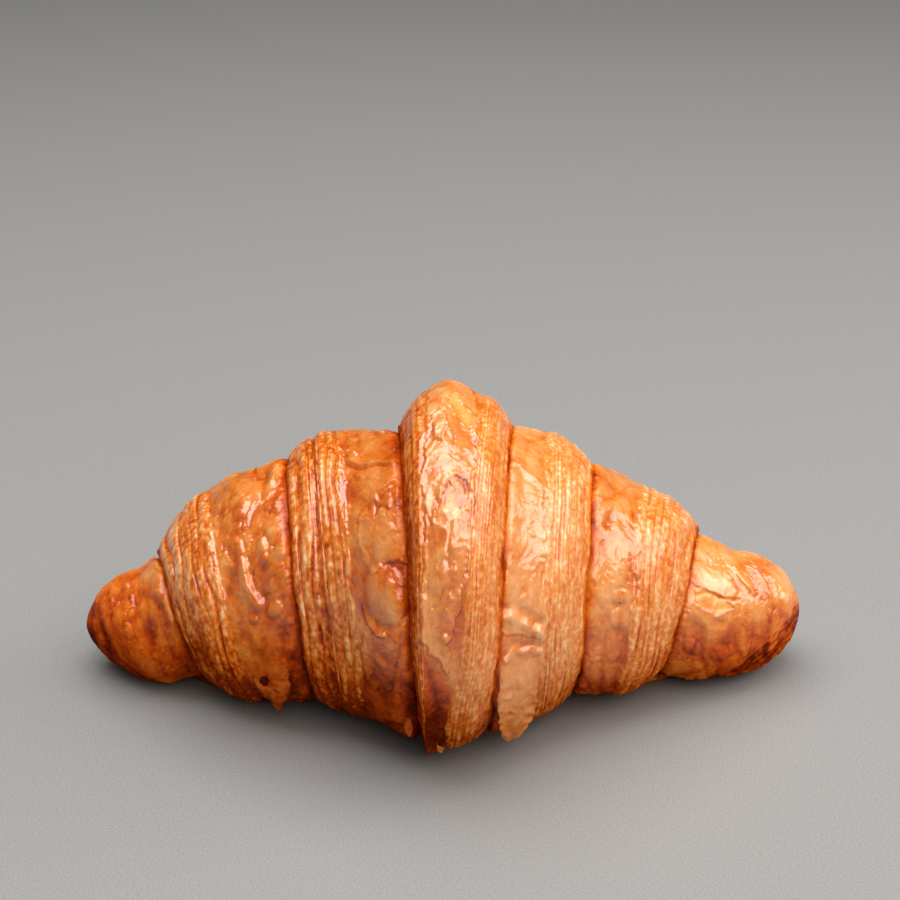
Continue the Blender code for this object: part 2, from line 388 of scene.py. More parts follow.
@dataclass
class Field:
    """Everything known at each grid point of one sheath, in mm.  Rows run across the wrap, columns round it."""

    x: Array
    angle: Array
    radius: Array
    layer: Array
    skin: Array
    grip: Array
    lift: Array = field(init=False)
    # The browning and the layers' tone (crest) below also hold painted shade and painted highlight.
    bake: Array = field(init=False)
    crest: Array = field(init=False)
    torn: Array = field(init=False)
    film: Array = field(init=False)
    groove: Array = field(init=False)
    shelter: Array = field(init=False)
    skin_room: Array = field(init=False)
    base: Array = field(init=False)
    ringwise: Array = field(init=False)

    def __post_init__(self) -> None:
        """Start the relief and the colour values, and keep the unraised points for the noises."""
        self.lift = np.zeros_like(self.x)
        self.bake = np.zeros_like(self.x)
        self.crest = np.full_like(self.x, 0.30)
        self.torn = np.zeros_like(self.x)
        self.film = np.zeros_like(self.x)
        self.groove = np.zeros_like(self.x)
        self.shelter = np.zeros_like(self.x)
        self.skin_room = np.where(self.layer < 1.0, 1.0, self.skin)
        self.base = ROLL.place(self.x, self.radius, self.angle)
        ring = self.radius[..., None] * np.stack([np.cos(self.angle), np.sin(self.angle)], axis=-1)
        self.ringwise = np.concatenate([self.x[..., None], ring], axis=-1)

    def local(self, x0: float, degrees0: float, turn: float) -> tuple[Array, Array]:
        """Distances from a spot on the sheath, turned.

        Args:
            x0: Signed X of the spot in mm.
            degrees0: Angle of the spot round the roll.
            turn: Degrees by which the two directions are turned anticlockwise as seen from outside the front.

        Returns:
            Distance to the right and distance up the front, in mm, after the turn.
        """
        across = self.x - x0
        off = np.mod(self.angle - np.radians(degrees0) + np.pi, 2.0 * np.pi) - np.pi
        around = self.radius * off
        c = math.cos(math.radians(turn))
        s = math.sin(math.radians(turn))
        return across * c + around * s, around * c - across * s

    def distance(self, spots: Path, closed: bool = False) -> tuple[Array, Array]:
        """Distance in mm from every grid point to a path of spots, each an X in mm and an angle in degrees.

        Args:
            spots: The path's corners in order.
            closed: Whether the last spot joins the first.

        Returns:
            The distance, and +1 or -1: left or right of the path's direction, or inside or outside when closed.
        """
        middle = math.radians(sum(a for _, a in spots) / len(spots))
        v = self.radius * (np.mod(self.angle - middle + np.pi, 2.0 * np.pi) - np.pi)
        away = np.full_like(self.x, 1e9)
        side = np.ones_like(self.x)
        odd = np.zeros(self.x.shape, bool)
        ends = spots[1:] + (spots[:1] if closed else ())
        for (x0, a0), (x1, a1) in zip(spots, ends):
            v0 = self.radius * (math.radians(a0) - middle)
            v1 = self.radius * (math.radians(a1) - middle)
            du, dv = x1 - x0, v1 - v0
            u = self.x - x0
            t = np.clip((u * du + (v - v0) * dv) / (du * du + dv * dv + 1e-9), 0.0, 1.0)
            gap = np.hypot(u - t * du, v - v0 - t * dv)
            left = np.where(du * (v - v0) - dv * u >= 0.0, 1.0, -1.0)
            side = np.where(gap < away, left, side)
            away = np.minimum(away, gap)
            crosses = (v0 > v) != (v1 > v)
            odd ^= crosses & (u < du * (v - v0) / np.where(dv == 0.0, 1e-9, dv))
        return away, np.where(odd, 1.0, -1.0) if closed else side

    def inside_span(self, spots: Path, reach: float) -> Array:
        """Fade from 1 along a path to 0 beyond either end of it, over a reach in mm."""
        fade = np.ones_like(self.x)
        for (x0, a0), (x1, a1) in ((spots[0], spots[1]), (spots[-1], spots[-2])):
            u, v = self.local(x0, a0, 0.0)
            du, dv = x1 - x0, self.radius * math.radians(a1 - a0)
            along = (u * du + v * dv) / np.hypot(du, dv)
            near = np.hypot(u, v) < 4.0 * reach + 4.0
            fade = np.where(near, fade * ease(along, -0.6 * reach, 0.9 * reach), fade)
        return fade

    def streaks(self, across: float, around: float, seed: int) -> Array:
        """Noise drawn out round the roll: across mm wide and around mm long."""
        scale = np.array([1.0 / across, 1.0 / around, 1.0 / around])
        return gradient_noise(self.ringwise * scale, seed)

    def sample(self, values: Array, x: Array, angle: Array) -> Array:
        """Read values of the grid at other spots, linearly between rows and between columns.

        Args:
            values: One of the field's arrays.
            x: Signed X of the spots in mm, one row of an array per spot is not needed: any shape.
            angle: Their angles in radians, same shape.

        Returns:
            The values there.
        """
        flat_x, flat_a = x.ravel(), angle.ravel()
        around = np.mod(flat_a - self.angle[0, 0], 2.0 * np.pi) + self.angle[0, 0]
        columns = self.x.shape[1]
        place = np.interp(around, np.append(self.angle[0], self.angle[0, 0] + 2.0 * np.pi), np.arange(columns + 1.0))
        j = np.floor(place).astype(int)
        blend = place - j
        way = 1.0 if self.x[-1, 0] > self.x[0, 0] else -1.0
        parts = []
        for column in (j % columns, (j + 1) % columns):
            rail = np.maximum.accumulate(way * self.x[:, column], axis=0)
            i = np.clip(np.sum(rail < way * flat_x, axis=0), 1, rail.shape[0] - 1)
            n = np.arange(flat_x.size)
            low, high = rail[i - 1, n], rail[i, n]
            t = np.clip((way * flat_x - low) / np.maximum(high - low, 1e-6), 0.0, 1.0)
            parts.append(values[i - 1, column] * (1.0 - t) + values[i, column] * t)
        return (parts[0] * (1.0 - blend) + parts[1] * blend).reshape(x.shape)

    def points(self) -> Array:
        """The raised surface in mm."""
        return ROLL.place(self.x, self.radius + self.lift, self.angle)


# --------------------------------------------------------------------------------------------------------------
# Relief
# --------------------------------------------------------------------------------------------------------------


@dataclass(frozen=True)
class Blister:
    """A bubble under the glaze: a smooth dome on an oval, with a crease round its foot."""

    x: float
    degrees: float
    length: float
    width: float
    height: float
    turn: float = 0.0
    crease: float = 0.15
    tone: float = 0.0

    def press(self, f: Field) -> None:
        """Raise the field by height (1 - rho^2)^1.3 inside the oval and sink a thin ring round it.

        Args:
            f: The sheath's field, changed in place.
        """
        u, v = f.local(self.x, self.degrees, self.turn)
        rho = np.hypot(u / (0.5 * self.width), v / (0.5 * self.length))
        rho = rho * (1.0 + 0.10 * cloud(f.base, 3.0, 71, 2))
        dome = np.clip(1.0 - rho**2, 0.0, 1.0) ** 1.3
        ring = np.exp(-(((rho - 1.02) * min(self.width, self.length) * 0.5 / 0.35) ** 2))
        f.lift += f.grip * (self.height * dome - self.crease * ring)
        # The ring round the foot is darkened: painted shade in the crease. Most dents in sheaths() (negative heights)
        # are given a darker tone: painted shade in the hollow.
        f.bake += self.tone * dome + 0.25 * self.crease * ring


@dataclass(frozen=True)
class Crease:
    """A thin crack or pressed line in the skin, through a few spots."""

    spots: Path
    depth: float
    width: float
    tone: float = 0.3

    def press(self, f: Field) -> None:
        """Sink the field by depth exp(-(d / width)^2), d being the distance to the line.

        Args:
            f: The sheath's field, changed in place.
        """
        away, _ = f.distance(self.spots)
        away = np.abs(away + 0.35 * self.width * gradient_noise(f.base / 1.4, 403))
        wobble = 1.0 + 0.5 * gradient_noise(f.base / 2.3, 401)
        line = np.exp(-((away / (self.width * wobble)) ** 2))
        f.lift -= f.grip * self.depth * line
        # The line is darkened by its tone: painted shade in the crack.
        f.bake += self.tone * line
        f.shelter = np.maximum(f.shelter, 0.8 * line)


@dataclass(frozen=True)
class Fold:
    """A fold where slack skin has slid over itself: gentle on one side, steep and shaded on the other."""

    spots: Path
    height: float
    width: float
    tone: float = 0.0

    def press(self, f: Field) -> None:
        """Raise a crest along the path and sink a trough on its right-hand side.

        The crest is height exp(-(d / width)^2), with d made three times as steep on the right of the path's
        direction, and the trough lies one width to the right.

        Args:
            f: The sheath's field, changed in place.
        """
        away, side = f.distance(self.spots)
        d = away * side
        d = d + 0.25 * self.width * gradient_noise(f.base / 3.1, 407)
        steep = np.where(d < 0.0, 2.2, 1.0)
        ends = f.inside_span(self.spots, self.width)
        crest = np.exp(-((steep * d / self.width) ** 2)) * ends
        trough = np.exp(-(((d + 1.05 * self.width) / (0.55 * self.width)) ** 2)) * ends
        f.lift += f.grip * (self.height * crest - 0.5 * self.height * trough)
        # The trough is darkened by its tone (painted shade) and the crest made a little paler (painted highlight).
        f.bake += self.tone * trough - 0.06 * crest


@dataclass(frozen=True)
class RolledEnd:
    """The outermost turn of dough at a horn's end, seen edge on: rough strands that follow its edge."""

    spots: Path
    pitch: float
    height: float
    tone: float

    def press(self, f: Field) -> None:
        """Raise uneven strands on the left-hand side of the path and brown them, paler on the raised strands and lumps
        as a painted highlight.

        Args:
            f: The sheath's field, changed in place.
        """
        away, side = f.distance(self.spots)
        d = away * side + 0.9 * cloud(f.base, 5.0, 421, 3, 0.6)
        within = ease(d, 0.0, 0.4)
        q = d / self.pitch + 0.5 * gradient_noise(f.base / 2.6, 423)
        ridge = 1.0 - np.abs(2.0 * (q - np.floor(q)) - 1.0) ** 2
        lumps = cloud(f.base, 2.2, 425, 2, 0.6)
        f.lift += f.grip * within * (self.height * (ridge - 0.6) + 0.45 * lumps - 0.2)
        # Raised strands and lumps are paler than the gaps: painted highlight on them, painted shade between; the tone
        # itself browns the end.
        f.bake += within * (self.tone - 0.26 * ridge - 0.24 * lumps)
        f.shelter = np.maximum(f.shelter, 0.5 * within)


@dataclass(frozen=True)
class Leaf:
    """A thin leaf of crust with a torn edge: laid on where its thickness is positive, missing where negative."""

    outline: Path
    thickness: float
    ragged: float = 0.5
    curl: float = 0.12
    tone: float = 0.0
    pale: float = 0.0
    seed: int = 1

    def press(self, f: Field) -> None:
        """Shift the inside of the outline by the thickness, with a crisp ragged edge that curls up.

        Args:
            f: The sheath's field, changed in place.
        """
        away, inside = f.distance(self.outline, closed=True)
        d = away * inside + self.ragged * cloud(f.base, 2.4, self.seed, 3, 0.7)
        within = ease(d, -0.10, 0.10)
        edge = np.exp(-(((d - 0.3) / 0.35) ** 2)) if self.thickness > 0 else np.exp(-(((d + 0.3) / 0.35) ** 2))
        rim = np.exp(-((d / 0.22) ** 2))
        f.lift += f.grip * (self.thickness * within + self.curl * edge)
        f.film = np.maximum(f.film, self.pale * within * f.grip)
        if self.thickness < 0.0:
            f.torn = np.maximum(f.torn, within * f.grip)
            f.film *= 1.0 - within
        f.bake += self.tone * within + 0.16 * rim


def bubbles(f: Field, size: float, drawn: float, seed: int) -> tuple[Array, Array]:
    """Close-set domes of uneven height, like skin lifted by steam.

    Each point belongs to its nearest random centre; the dome falls to nothing where two centres are equally
    near, and its height is the cube of the centre's own random number.

    Args:
        f: The sheath's field.
        size: Width of a dome in mm.
        drawn: How many times longer than wide the domes are, round the roll.
        seed: Which domes.

    Returns:
        Height from 0 to 1, and distance from the dome's wall as a share of its size.
    """
    scale = np.array([1.0, 1.0 / drawn, 1.0 / drawn]) / size
    p = f.ringwise * scale
    p = p + 0.30 * np.stack([gradient_noise(p * 1.9, seed + k) for k in (1, 2, 3)], axis=-1)
    near, far, own = cells(p, seed)
    wall = far - near
    dome = 1.0 - (1.0 - np.clip(wall / 0.75, 0.0, 1.0)) ** 2
    return dome * own**3, wall


def drawn_noise(f: Field, size: float, drawn: float, seed: int, warp: float = 0.45) -> Array:
    """Noise drawn out round the roll, with its places shifted by a slower noise so that it flows in curves.

    Args:
        f: The sheath's field.
        size: Width of a lump in mm.
        drawn: How many times longer than wide.
        seed: Which noise.
        warp: Size of the shift, as a share of the lump.

    Returns:
        One value per point, in about -1..1.
    """
    p = f.ringwise * np.array([1.0, 1.0 / drawn, 1.0 / drawn]) / size
    shift = np.stack([gradient_noise(p * 0.8 + 3.0 * k, seed + 50 + k) for k in (1, 2, 3)], axis=-1)
    return gradient_noise(p + warp * shift, seed)


@dataclass(frozen=True)
class Skin:
    """Glazed top leaf of a wrap: slow lumps, puffs lifted by steam, thin wrinkles and sharp little folds."""

    seed: int
    lumps: float = 0.50
    puffs: float = 0.50
    bubble: float = 0.50
    crumple: float = 0.12
    wrinkles: float = 0.14

    def press(self, f: Field) -> None:
        """Add clouds, puffs of two sizes (the absolute value of a flowing noise), bubbles, lines and folds.

        The folds are 0.5 less the absolute value of a noise, at two sizes, so that their crests are sharp.

        Args:
            f: The sheath's field, changed in place.
        """
        big = cloud(f.base, 12.0, self.seed, 2, 0.45)
        slow = drawn_noise(f, 5.0, 2.2, self.seed + 20)
        quick = drawn_noise(f, 2.1, 2.6, self.seed + 24, 0.6)
        tiny = drawn_noise(f, 1.05, 1.5, self.seed + 27, 0.6)
        tall, _ = bubbles(f, 3.6, 1.5, self.seed + 30)
        calm = ease(cloud(f.base, 9.0, self.seed + 60, 2), -0.25, 0.25)
        rough = ease(cloud(f.base, 6.0, self.seed + 65, 2), -0.10, 0.35)
        flow = drawn_noise(f, 3.4, 2.6, self.seed + 40, 0.9)
        cross = drawn_noise(f, 4.6, 0.6, self.seed + 45, 0.9)
        line = np.exp(-((flow / 0.07) ** 2)) * rough + 0.8 * np.exp(-((cross / 0.06) ** 2)) * (1.0 - calm)
        puff = np.abs(slow) ** 0.8 - 0.35
        small = (np.abs(quick) ** 0.8 - 0.35) * rough
        relief = self.lumps * big + self.puffs * (puff + 0.55 * small) + self.bubble * tall * calm
        relief = relief - self.wrinkles * line + 0.13 * self.puffs * tiny * (0.35 + rough)
        folds = 0.5 - np.abs(drawn_noise(f, 4.2, 1.25, self.seed + 70, 0.9))
        folds = folds + 0.55 * (0.5 - np.abs(drawn_noise(f, 1.9, 1.3, self.seed + 73, 0.9)))
        relief = relief + self.crumple * folds
        f.lift += f.grip * f.skin * relief
        # The tone follows the relief: raised puffs, lumps and fold crests paler (painted highlight), hollows and thin
        # wrinkle lines darker (painted shade); bubble tops a little browner.
        tone = -0.34 * puff - 0.20 * small - 0.12 * big + 0.10 * line + 0.05 * tall * calm - 0.05 * tiny * rough
        tone = tone - 0.35 * self.crumple * folds
        f.bake += f.skin * tone


def strew_blisters(f: Field, count: int, small: float, large: float, seed: int, steep: float = 0.14) -> None:
    """Scatter small round bubbles over the skin.

    Args:
        f: The sheath's field, changed in place.
        count: How many are tried; those that fall off the skin are skipped.
        small: Smallest width in mm.
        large: Largest width in mm.
        seed: Which scatter.
        steep: Height of a bubble over its width.
    """
    rng = np.random.default_rng(seed)
    rows, columns = f.x.shape
    for _ in range(count):
        i = rng.integers(2, rows - 2)
        j = rng.integers(0, columns)
        width = small + (large - small) * rng.random() ** 2.5
        stretch = rng.uniform(1.0, 1.8)
        turn = math.radians(rng.uniform(-35.0, 35.0))
        tone = rng.uniform(-0.16, 0.14)
        if f.skin[i, j] < 0.9:
            continue
        half = int(np.ceil(width * stretch / 0.12)) + 2
        band = np.arange(max(0, i - half), min(rows, i + half + 1))
        ring = np.mod(np.arange(j - half, j + half + 1), columns)
        cut = np.ix_(band, np.unique(ring))
        across = f.x[cut] - f.x[i, j]
        around = f.radius[cut] * (np.mod(f.angle[cut] - f.angle[i, j] + np.pi, 2.0 * np.pi) - np.pi)
        u = (across * math.cos(turn) + around * math.sin(turn)) / (0.5 * width)
        v = (around * math.cos(turn) - across * math.sin(turn)) / (0.5 * width * stretch)
        rho = np.hypot(u, v)
        dome = np.clip(1.0 - rho**2, 0.0, 1.0) ** 1.2
        foot = np.exp(-(((rho - 1.05) * width * 0.5 / 0.22) ** 2))
        f.lift[cut] += f.grip[cut] * (steep * width * dome - 0.04 * foot)
        # The dome's tone is random; the foot ring is a little darker: painted shade.
        f.bake[cut] += tone * dome + 0.05 * foot


@dataclass(frozen=True)
class Leaves:
    """The dough layers that open at the edge of a wrap: thin sheets seen edge on, side by side."""

    count: int
    height: float
    seed: int
    uneven: float = 0.55
    fine: float = 0.07
    beads: float = 0.09
    cover: float = 0.07
    pale: float = 0.0
    contrast: float = 1.0
    # How much darker the layers get low down: painted shade.
    painted_low_shade: float = 0.26
    grooves: tuple[tuple[float, float, float], ...] = ()

    def press(self, f: Field) -> None:
        """Raise one rounded ridge per layer, with some open seams between, fine threads and beads on each.

        The layer coordinate has uneven widths and is warped by noise drawn out round the roll.  Each ridge is
        1 - (2s - 1)^2 of its own share s, times a height that differs from layer to layer and along it.
        The skin runs on over the first layers to a ragged line, and shows their ridges at a third of their
        height.

        Args:
            f: The sheath's field, changed in place.
        """
        rng = np.random.default_rng(self.seed)
        in_layers = f.layer >= 0.0
        t = np.clip(f.layer, 0.0, 1.0)
        ring = f.ringwise * np.array([0.0, 1.0, 1.0])
        widths = 1.0 + self.uneven * rng.uniform(-1.0, 1.0, self.count)
        bounds = np.concatenate([[0.0], np.cumsum(widths)]) / widths.sum()
        bend = 0.60 * f.streaks(7.0, 22.0, self.seed) + 0.22 * f.streaks(2.8, 9.0, self.seed + 1)
        q = np.interp(t, bounds, np.arange(self.count + 1.0)) + bend * np.sin(np.pi * t) ** 0.5
        index = np.floor(q)
        share = q - index
        own = ring / 10.0
        own[..., 0] = index * 3.71 + self.seed
        seam = ring / 10.0
        seam[..., 0] = np.round(q) * 5.13 + self.seed
        strength = np.clip(0.60 + 0.95 * gradient_noise(own, self.seed + 5), 0.10, 1.3)
        step = 0.34 * gradient_noise(own * np.array([1.0, 1.5, 1.5]) + 7.7, self.seed + 9)
        open_seam = ease(gradient_noise(seam * np.array([1.0, 1.6, 1.6]) + 3.1, self.seed + 17), -0.05, 0.45)
        ridge = 1.0 - np.abs(2.0 * share - 1.0) ** 2.0
        inner = q * 2.6 + 0.35 * f.streaks(1.4, 12.0, self.seed + 21)
        thread = 1.0 - np.abs(2.0 * (inner - np.floor(inner)) - 1.0) ** 2
        bead = gradient_noise(f.ringwise / np.array([0.85, 1.35, 1.35]), self.seed + 13)
        bead = bead + 0.6 * gradient_noise(f.ringwise / np.array([1.6, 3.4, 3.4]), self.seed + 14)
        valley = (1.0 - ridge) ** 3
        raised = self.height * (strength * (ridge - 0.55) + step - 1.3 * open_seam * valley)
        raised = raised + self.fine * (thread - 0.5) + self.beads * bead * (0.35 + 0.65 * ridge)
        sunk = np.zeros_like(t)
        for place, width, depth in self.grooves:
            wander = 0.35 * width * f.streaks(6.0, 15.0, self.seed + 31)
            dip = np.exp(-(((t - place + wander) / width) ** 2))
            sunk = sunk + depth * dip
        ragged = 0.15 * gradient_noise(ring / 7.0 + self.seed, self.seed + 41)
        ragged = ragged + 0.07 * gradient_noise(ring / 1.9 + self.seed, self.seed + 42)
        rim = t - self.cover - ragged
        bare = ease(rim, -0.03, 0.03)
        raised = raised * (0.34 + 0.66 * bare) * ease(t, -0.01, 0.06) + 0.10 * (1.0 - bare) * ease(t, 0.0, 0.05)
        f.lift += np.where(in_layers, f.grip * (raised - sunk), 0.0)
        f.shelter = np.where(in_layers, np.maximum(f.shelter, 0.7 * valley * bare), f.shelter)
        # The layers' tone follows the relief: tops of ridges, of taller layers, of threads and of beads are paler
        # (painted highlight, partly the layers' own paler edges), valleys, open seams and grooves darker (painted
        # shade), and the layers darker low down (painted shade).
        low = ease(-f.base[..., 2], -26.0, -6.0)
        tone = 0.30 + ridge * (0.06 + 0.22 * strength) + 0.48 * step + 0.10 * (thread - 0.5)
        tone = tone + 0.34 * bead * ridge - 0.34 * open_seam * valley - 0.25 * sunk
        tone = 0.55 + (tone - 0.55) * self.contrast + self.pale - self.painted_low_shade * low
        f.crest = np.where(in_layers, np.clip(tone, 0.0, 1.0), f.crest)
        f.skin = np.where(in_layers, np.minimum(f.skin_room, 1.0 - bare), f.skin)


def brown(f: Field, seed: int, bias: float) -> None:
    """Lay the oven's browning over a sheath as slow and middling clouds, and painted shade: darker low down (partly the
    more browned underside too), in the grooves and on the hidden rows inside.

    Args:
        f: The sheath's field, changed in place.
        seed: Which clouds.
        bias: Added browning of the whole sheath.
    """
    low = ease(-f.base[..., 2], -30.0, -6.0)
    f.bake += bias + 0.30 + 0.17 * cloud(f.base, 12.0, seed, 3, 0.5) + 0.10 * cloud(f.base, 3.2, seed + 7, 3, 0.6)
    crumb = ease(gradient_noise(f.base / 1.1, seed + 15), 0.42, 0.60) * ease(cloud(f.base, 7.0, seed + 17, 2), -0.1, 0.3)
    # Painted shade: darker low down (partly the more browned underside too) and in the grooves; the pale crumbs low
    # down are the crust's own.
    f.bake += 0.36 * low - 0.14 * crumb * low + 0.26 * f.groove
    hidden = (f.groove == 1.0) * (1.0 - f.grip)
    # Painted shade in the grooves and on the hidden rows: the layers' tone is darker there and the hidden rows are
    # browner.
    f.crest = np.clip(f.crest - 0.20 * f.groove - 0.30 * hidden, 0.0, 1.0)
    f.bake = np.clip(f.bake, 0.0, 0.96) + 0.10 * hidden


def glaze(points: Array, shelter: Array | float = 0.0) -> Array:
    """How much egg wash there is: all of it on top, next to none low down and in grooves, past the brush.

    The brush reached some 12 mm lower on the right half than on the left, and a little lower on the left horn.

    Args:
        points: Places in mm, last axis 3.
        shelter: How far each place is tucked away in a groove or a seam, 0 to 1.

    Returns:
        One value per point.
    """
    reach = 12.0 * ease(points[..., 0], -3.0, 8.0) + 7.0 * ease(-points[..., 0], 44.0, 56.0)
    return (1.0 - 0.97 * ease(-points[..., 2] - reach, -37.0, -18.0)) * (1.0 - 0.85 * shelter)


# --------------------------------------------------------------------------------------------------------------
# Meshes
# --------------------------------------------------------------------------------------------------------------


def ring_angles(count: int) -> Array:
    """Angles round the roll, closer together at the front and top than behind and underneath.

    Args:
        count: How many.

    Returns:
        Rising angles from -90 degrees, found by inverting the summed density.
    """
    fine = np.radians(np.linspace(-90.0, 270.0, 3601))
    degrees = np.degrees(fine)
    density = 0.30 + 0.70 * ease(degrees, -85.0, -70.0) - 0.35 * ease(degrees, 128.0, 150.0)
    density = density - 0.35 * ease(degrees, 232.0, 250.0)
    total = np.concatenate([[0.0], np.cumsum(0.5 * (density[1:] + density[:-1]))])
    return np.interp(np.arange(count) / count * total[-1], total, fine)


def closed_tube(name: str, points: Array, values: dict[str, Array], ring: bool = False) -> bpy.types.Object:
    """Mesh of a grid that closes round its columns, with a pole at each end or its ends joined.

    Args:
        name: Object name.
        points: Grid of points in mm, rows by columns by 3.
        values: Float attributes, one array of rows by columns each.
        ring: Whether the last row joins the first, in place of the poles.

    Returns:
        The new object, with faces outwards and smooth shading.
    """
    rows, columns = points.shape[:2]
    ends = np.stack([points[0].mean(axis=0), points[-1].mean(axis=0)])[: 0 if ring else 2]
    co = np.concatenate([points.reshape(-1, 3), ends]) * MM
    i, j = np.meshgrid(np.arange(rows if ring else rows - 1), np.arange(columns), indexing="ij")
    k = (j + 1) % columns
    n = (i + 1) % rows
    quads = np.stack([i * columns + j, n * columns + j, n * columns + k, i * columns + k], axis=-1)
    quads = quads.reshape(-1, 4)
    j = np.arange(columns)
    k = (j + 1) % columns
    first = np.stack([np.full_like(j, rows * columns), j, k], axis=-1)
    last = np.stack([np.full_like(j, rows * columns + 1), (rows - 1) * columns + k, (rows - 1) * columns + j], axis=-1)
    tris = np.concatenate([first, last])[: 0 if ring else None]
    corner = np.concatenate([np.concatenate([quads[:, :3], quads[:, [0, 2, 3]]]), tris])
    a, b, c = (co[corner[:, n]] for n in range(3))
    if np.sum(np.cross(a, b) * c) < 0.0:
        quads = quads[:, ::-1]
        tris = tris[:, ::-1]
    filled = {key: np.append(v.ravel(), [] if ring else [v[0].mean(), v[-1].mean()]) for key, v in values.items()}
    return mesh_object(name, co, quads, tris, filled)


def mesh_object(name: str, co: Array, quads: Array, tris: Array, values: dict[str, Array]) -> bpy.types.Object:
    """Write vertices, faces and float attributes into a new smooth object.

    Args:
        name: Object name.
        co: Vertices in metres.
        quads: Four-cornered faces.
        tris: Three-cornered faces.
        values: One float per vertex for each attribute.

    Returns:
        The object, linked to the scene.
    """
    corners = np.concatenate([quads.ravel(), tris.ravel()]).astype(np.int32)
    starts = np.concatenate([np.arange(len(quads)) * 4, len(quads) * 4 + np.arange(len(tris)) * 3])
    data = bpy.data.meshes.new(name)
    data.vertices.add(len(co))
    data.vertices.foreach_set("co", co.astype(np.float32).ravel())
    data.loops.add(len(corners))
    data.polygons.add(len(starts))
    data.polygons.foreach_set("loop_start", starts.astype(np.int32))
    data.polygons.foreach_set("vertices", corners)
    for key, value in values.items():
        layer = data.attributes.new(key, "FLOAT", "POINT")
        layer.data.foreach_set("value", value.astype(np.float32))
    data.update(calc_edges=True)
    data.validate()
    data.shade_smooth()
    thing = bpy.data.objects.new(name, data)
    bpy.context.scene.collection.objects.link(thing)
    return thing


# --------------------------------------------------------------------------------------------------------------
# Finishes
# --------------------------------------------------------------------------------------------------------------


def linear(hex_colour: str) -> tuple[float, float, float, float]:
    """Linear RGBA of an sRGB hex colour."""
    parts = [int(hex_colour[k : k + 2], 16) / 255.0 for k in (1, 3, 5)]
    out = [p / 12.92 if p <= 0.04045 else ((p + 0.055) / 1.055) ** 2.4 for p in parts]
    return (out[0], out[1], out[2], 1.0)


@dataclass
class NodeDesk:
    """A material's node tree and the one way nodes are added to it."""

    tree: bpy.types.NodeTree

    def add(self, kind: str, links: dict[str | int, object] | None = None, **settings: object) -> bpy.types.Node:
        """Add a node, set its properties and fill its inputs.

        Args:
            kind: Node type without the leading ShaderNode.
            links: Input name or index to an output socket or a plain value.
            settings: Properties of the node.

        Returns:
            The node.
        """
        node = self.tree.nodes.new("ShaderNode" + kind)
        for key, value in settings.items():
            setattr(node, key, value)
        for key, value in (links or {}).items():
            if isinstance(value, bpy.types.NodeSocket):
                self.tree.links.new(value, node.inputs[key])
            else:
                node.inputs[key].default_value = value
        return node


def ramp(node: bpy.types.Node, stops: Sequence[tuple[float, str]]) -> bpy.types.Node:
    """Give a colour ramp its stops, each a place and an sRGB hex colour."""
    elements = node.color_ramp.elements
    while len(elements) > 1:
        elements.remove(elements[-1])
    elements[0].position = stops[0][0]
    elements[0].color = linear(stops[0][1])
    for place, colour in stops[1:]:
        elements.new(place).color = linear(colour)
    return node


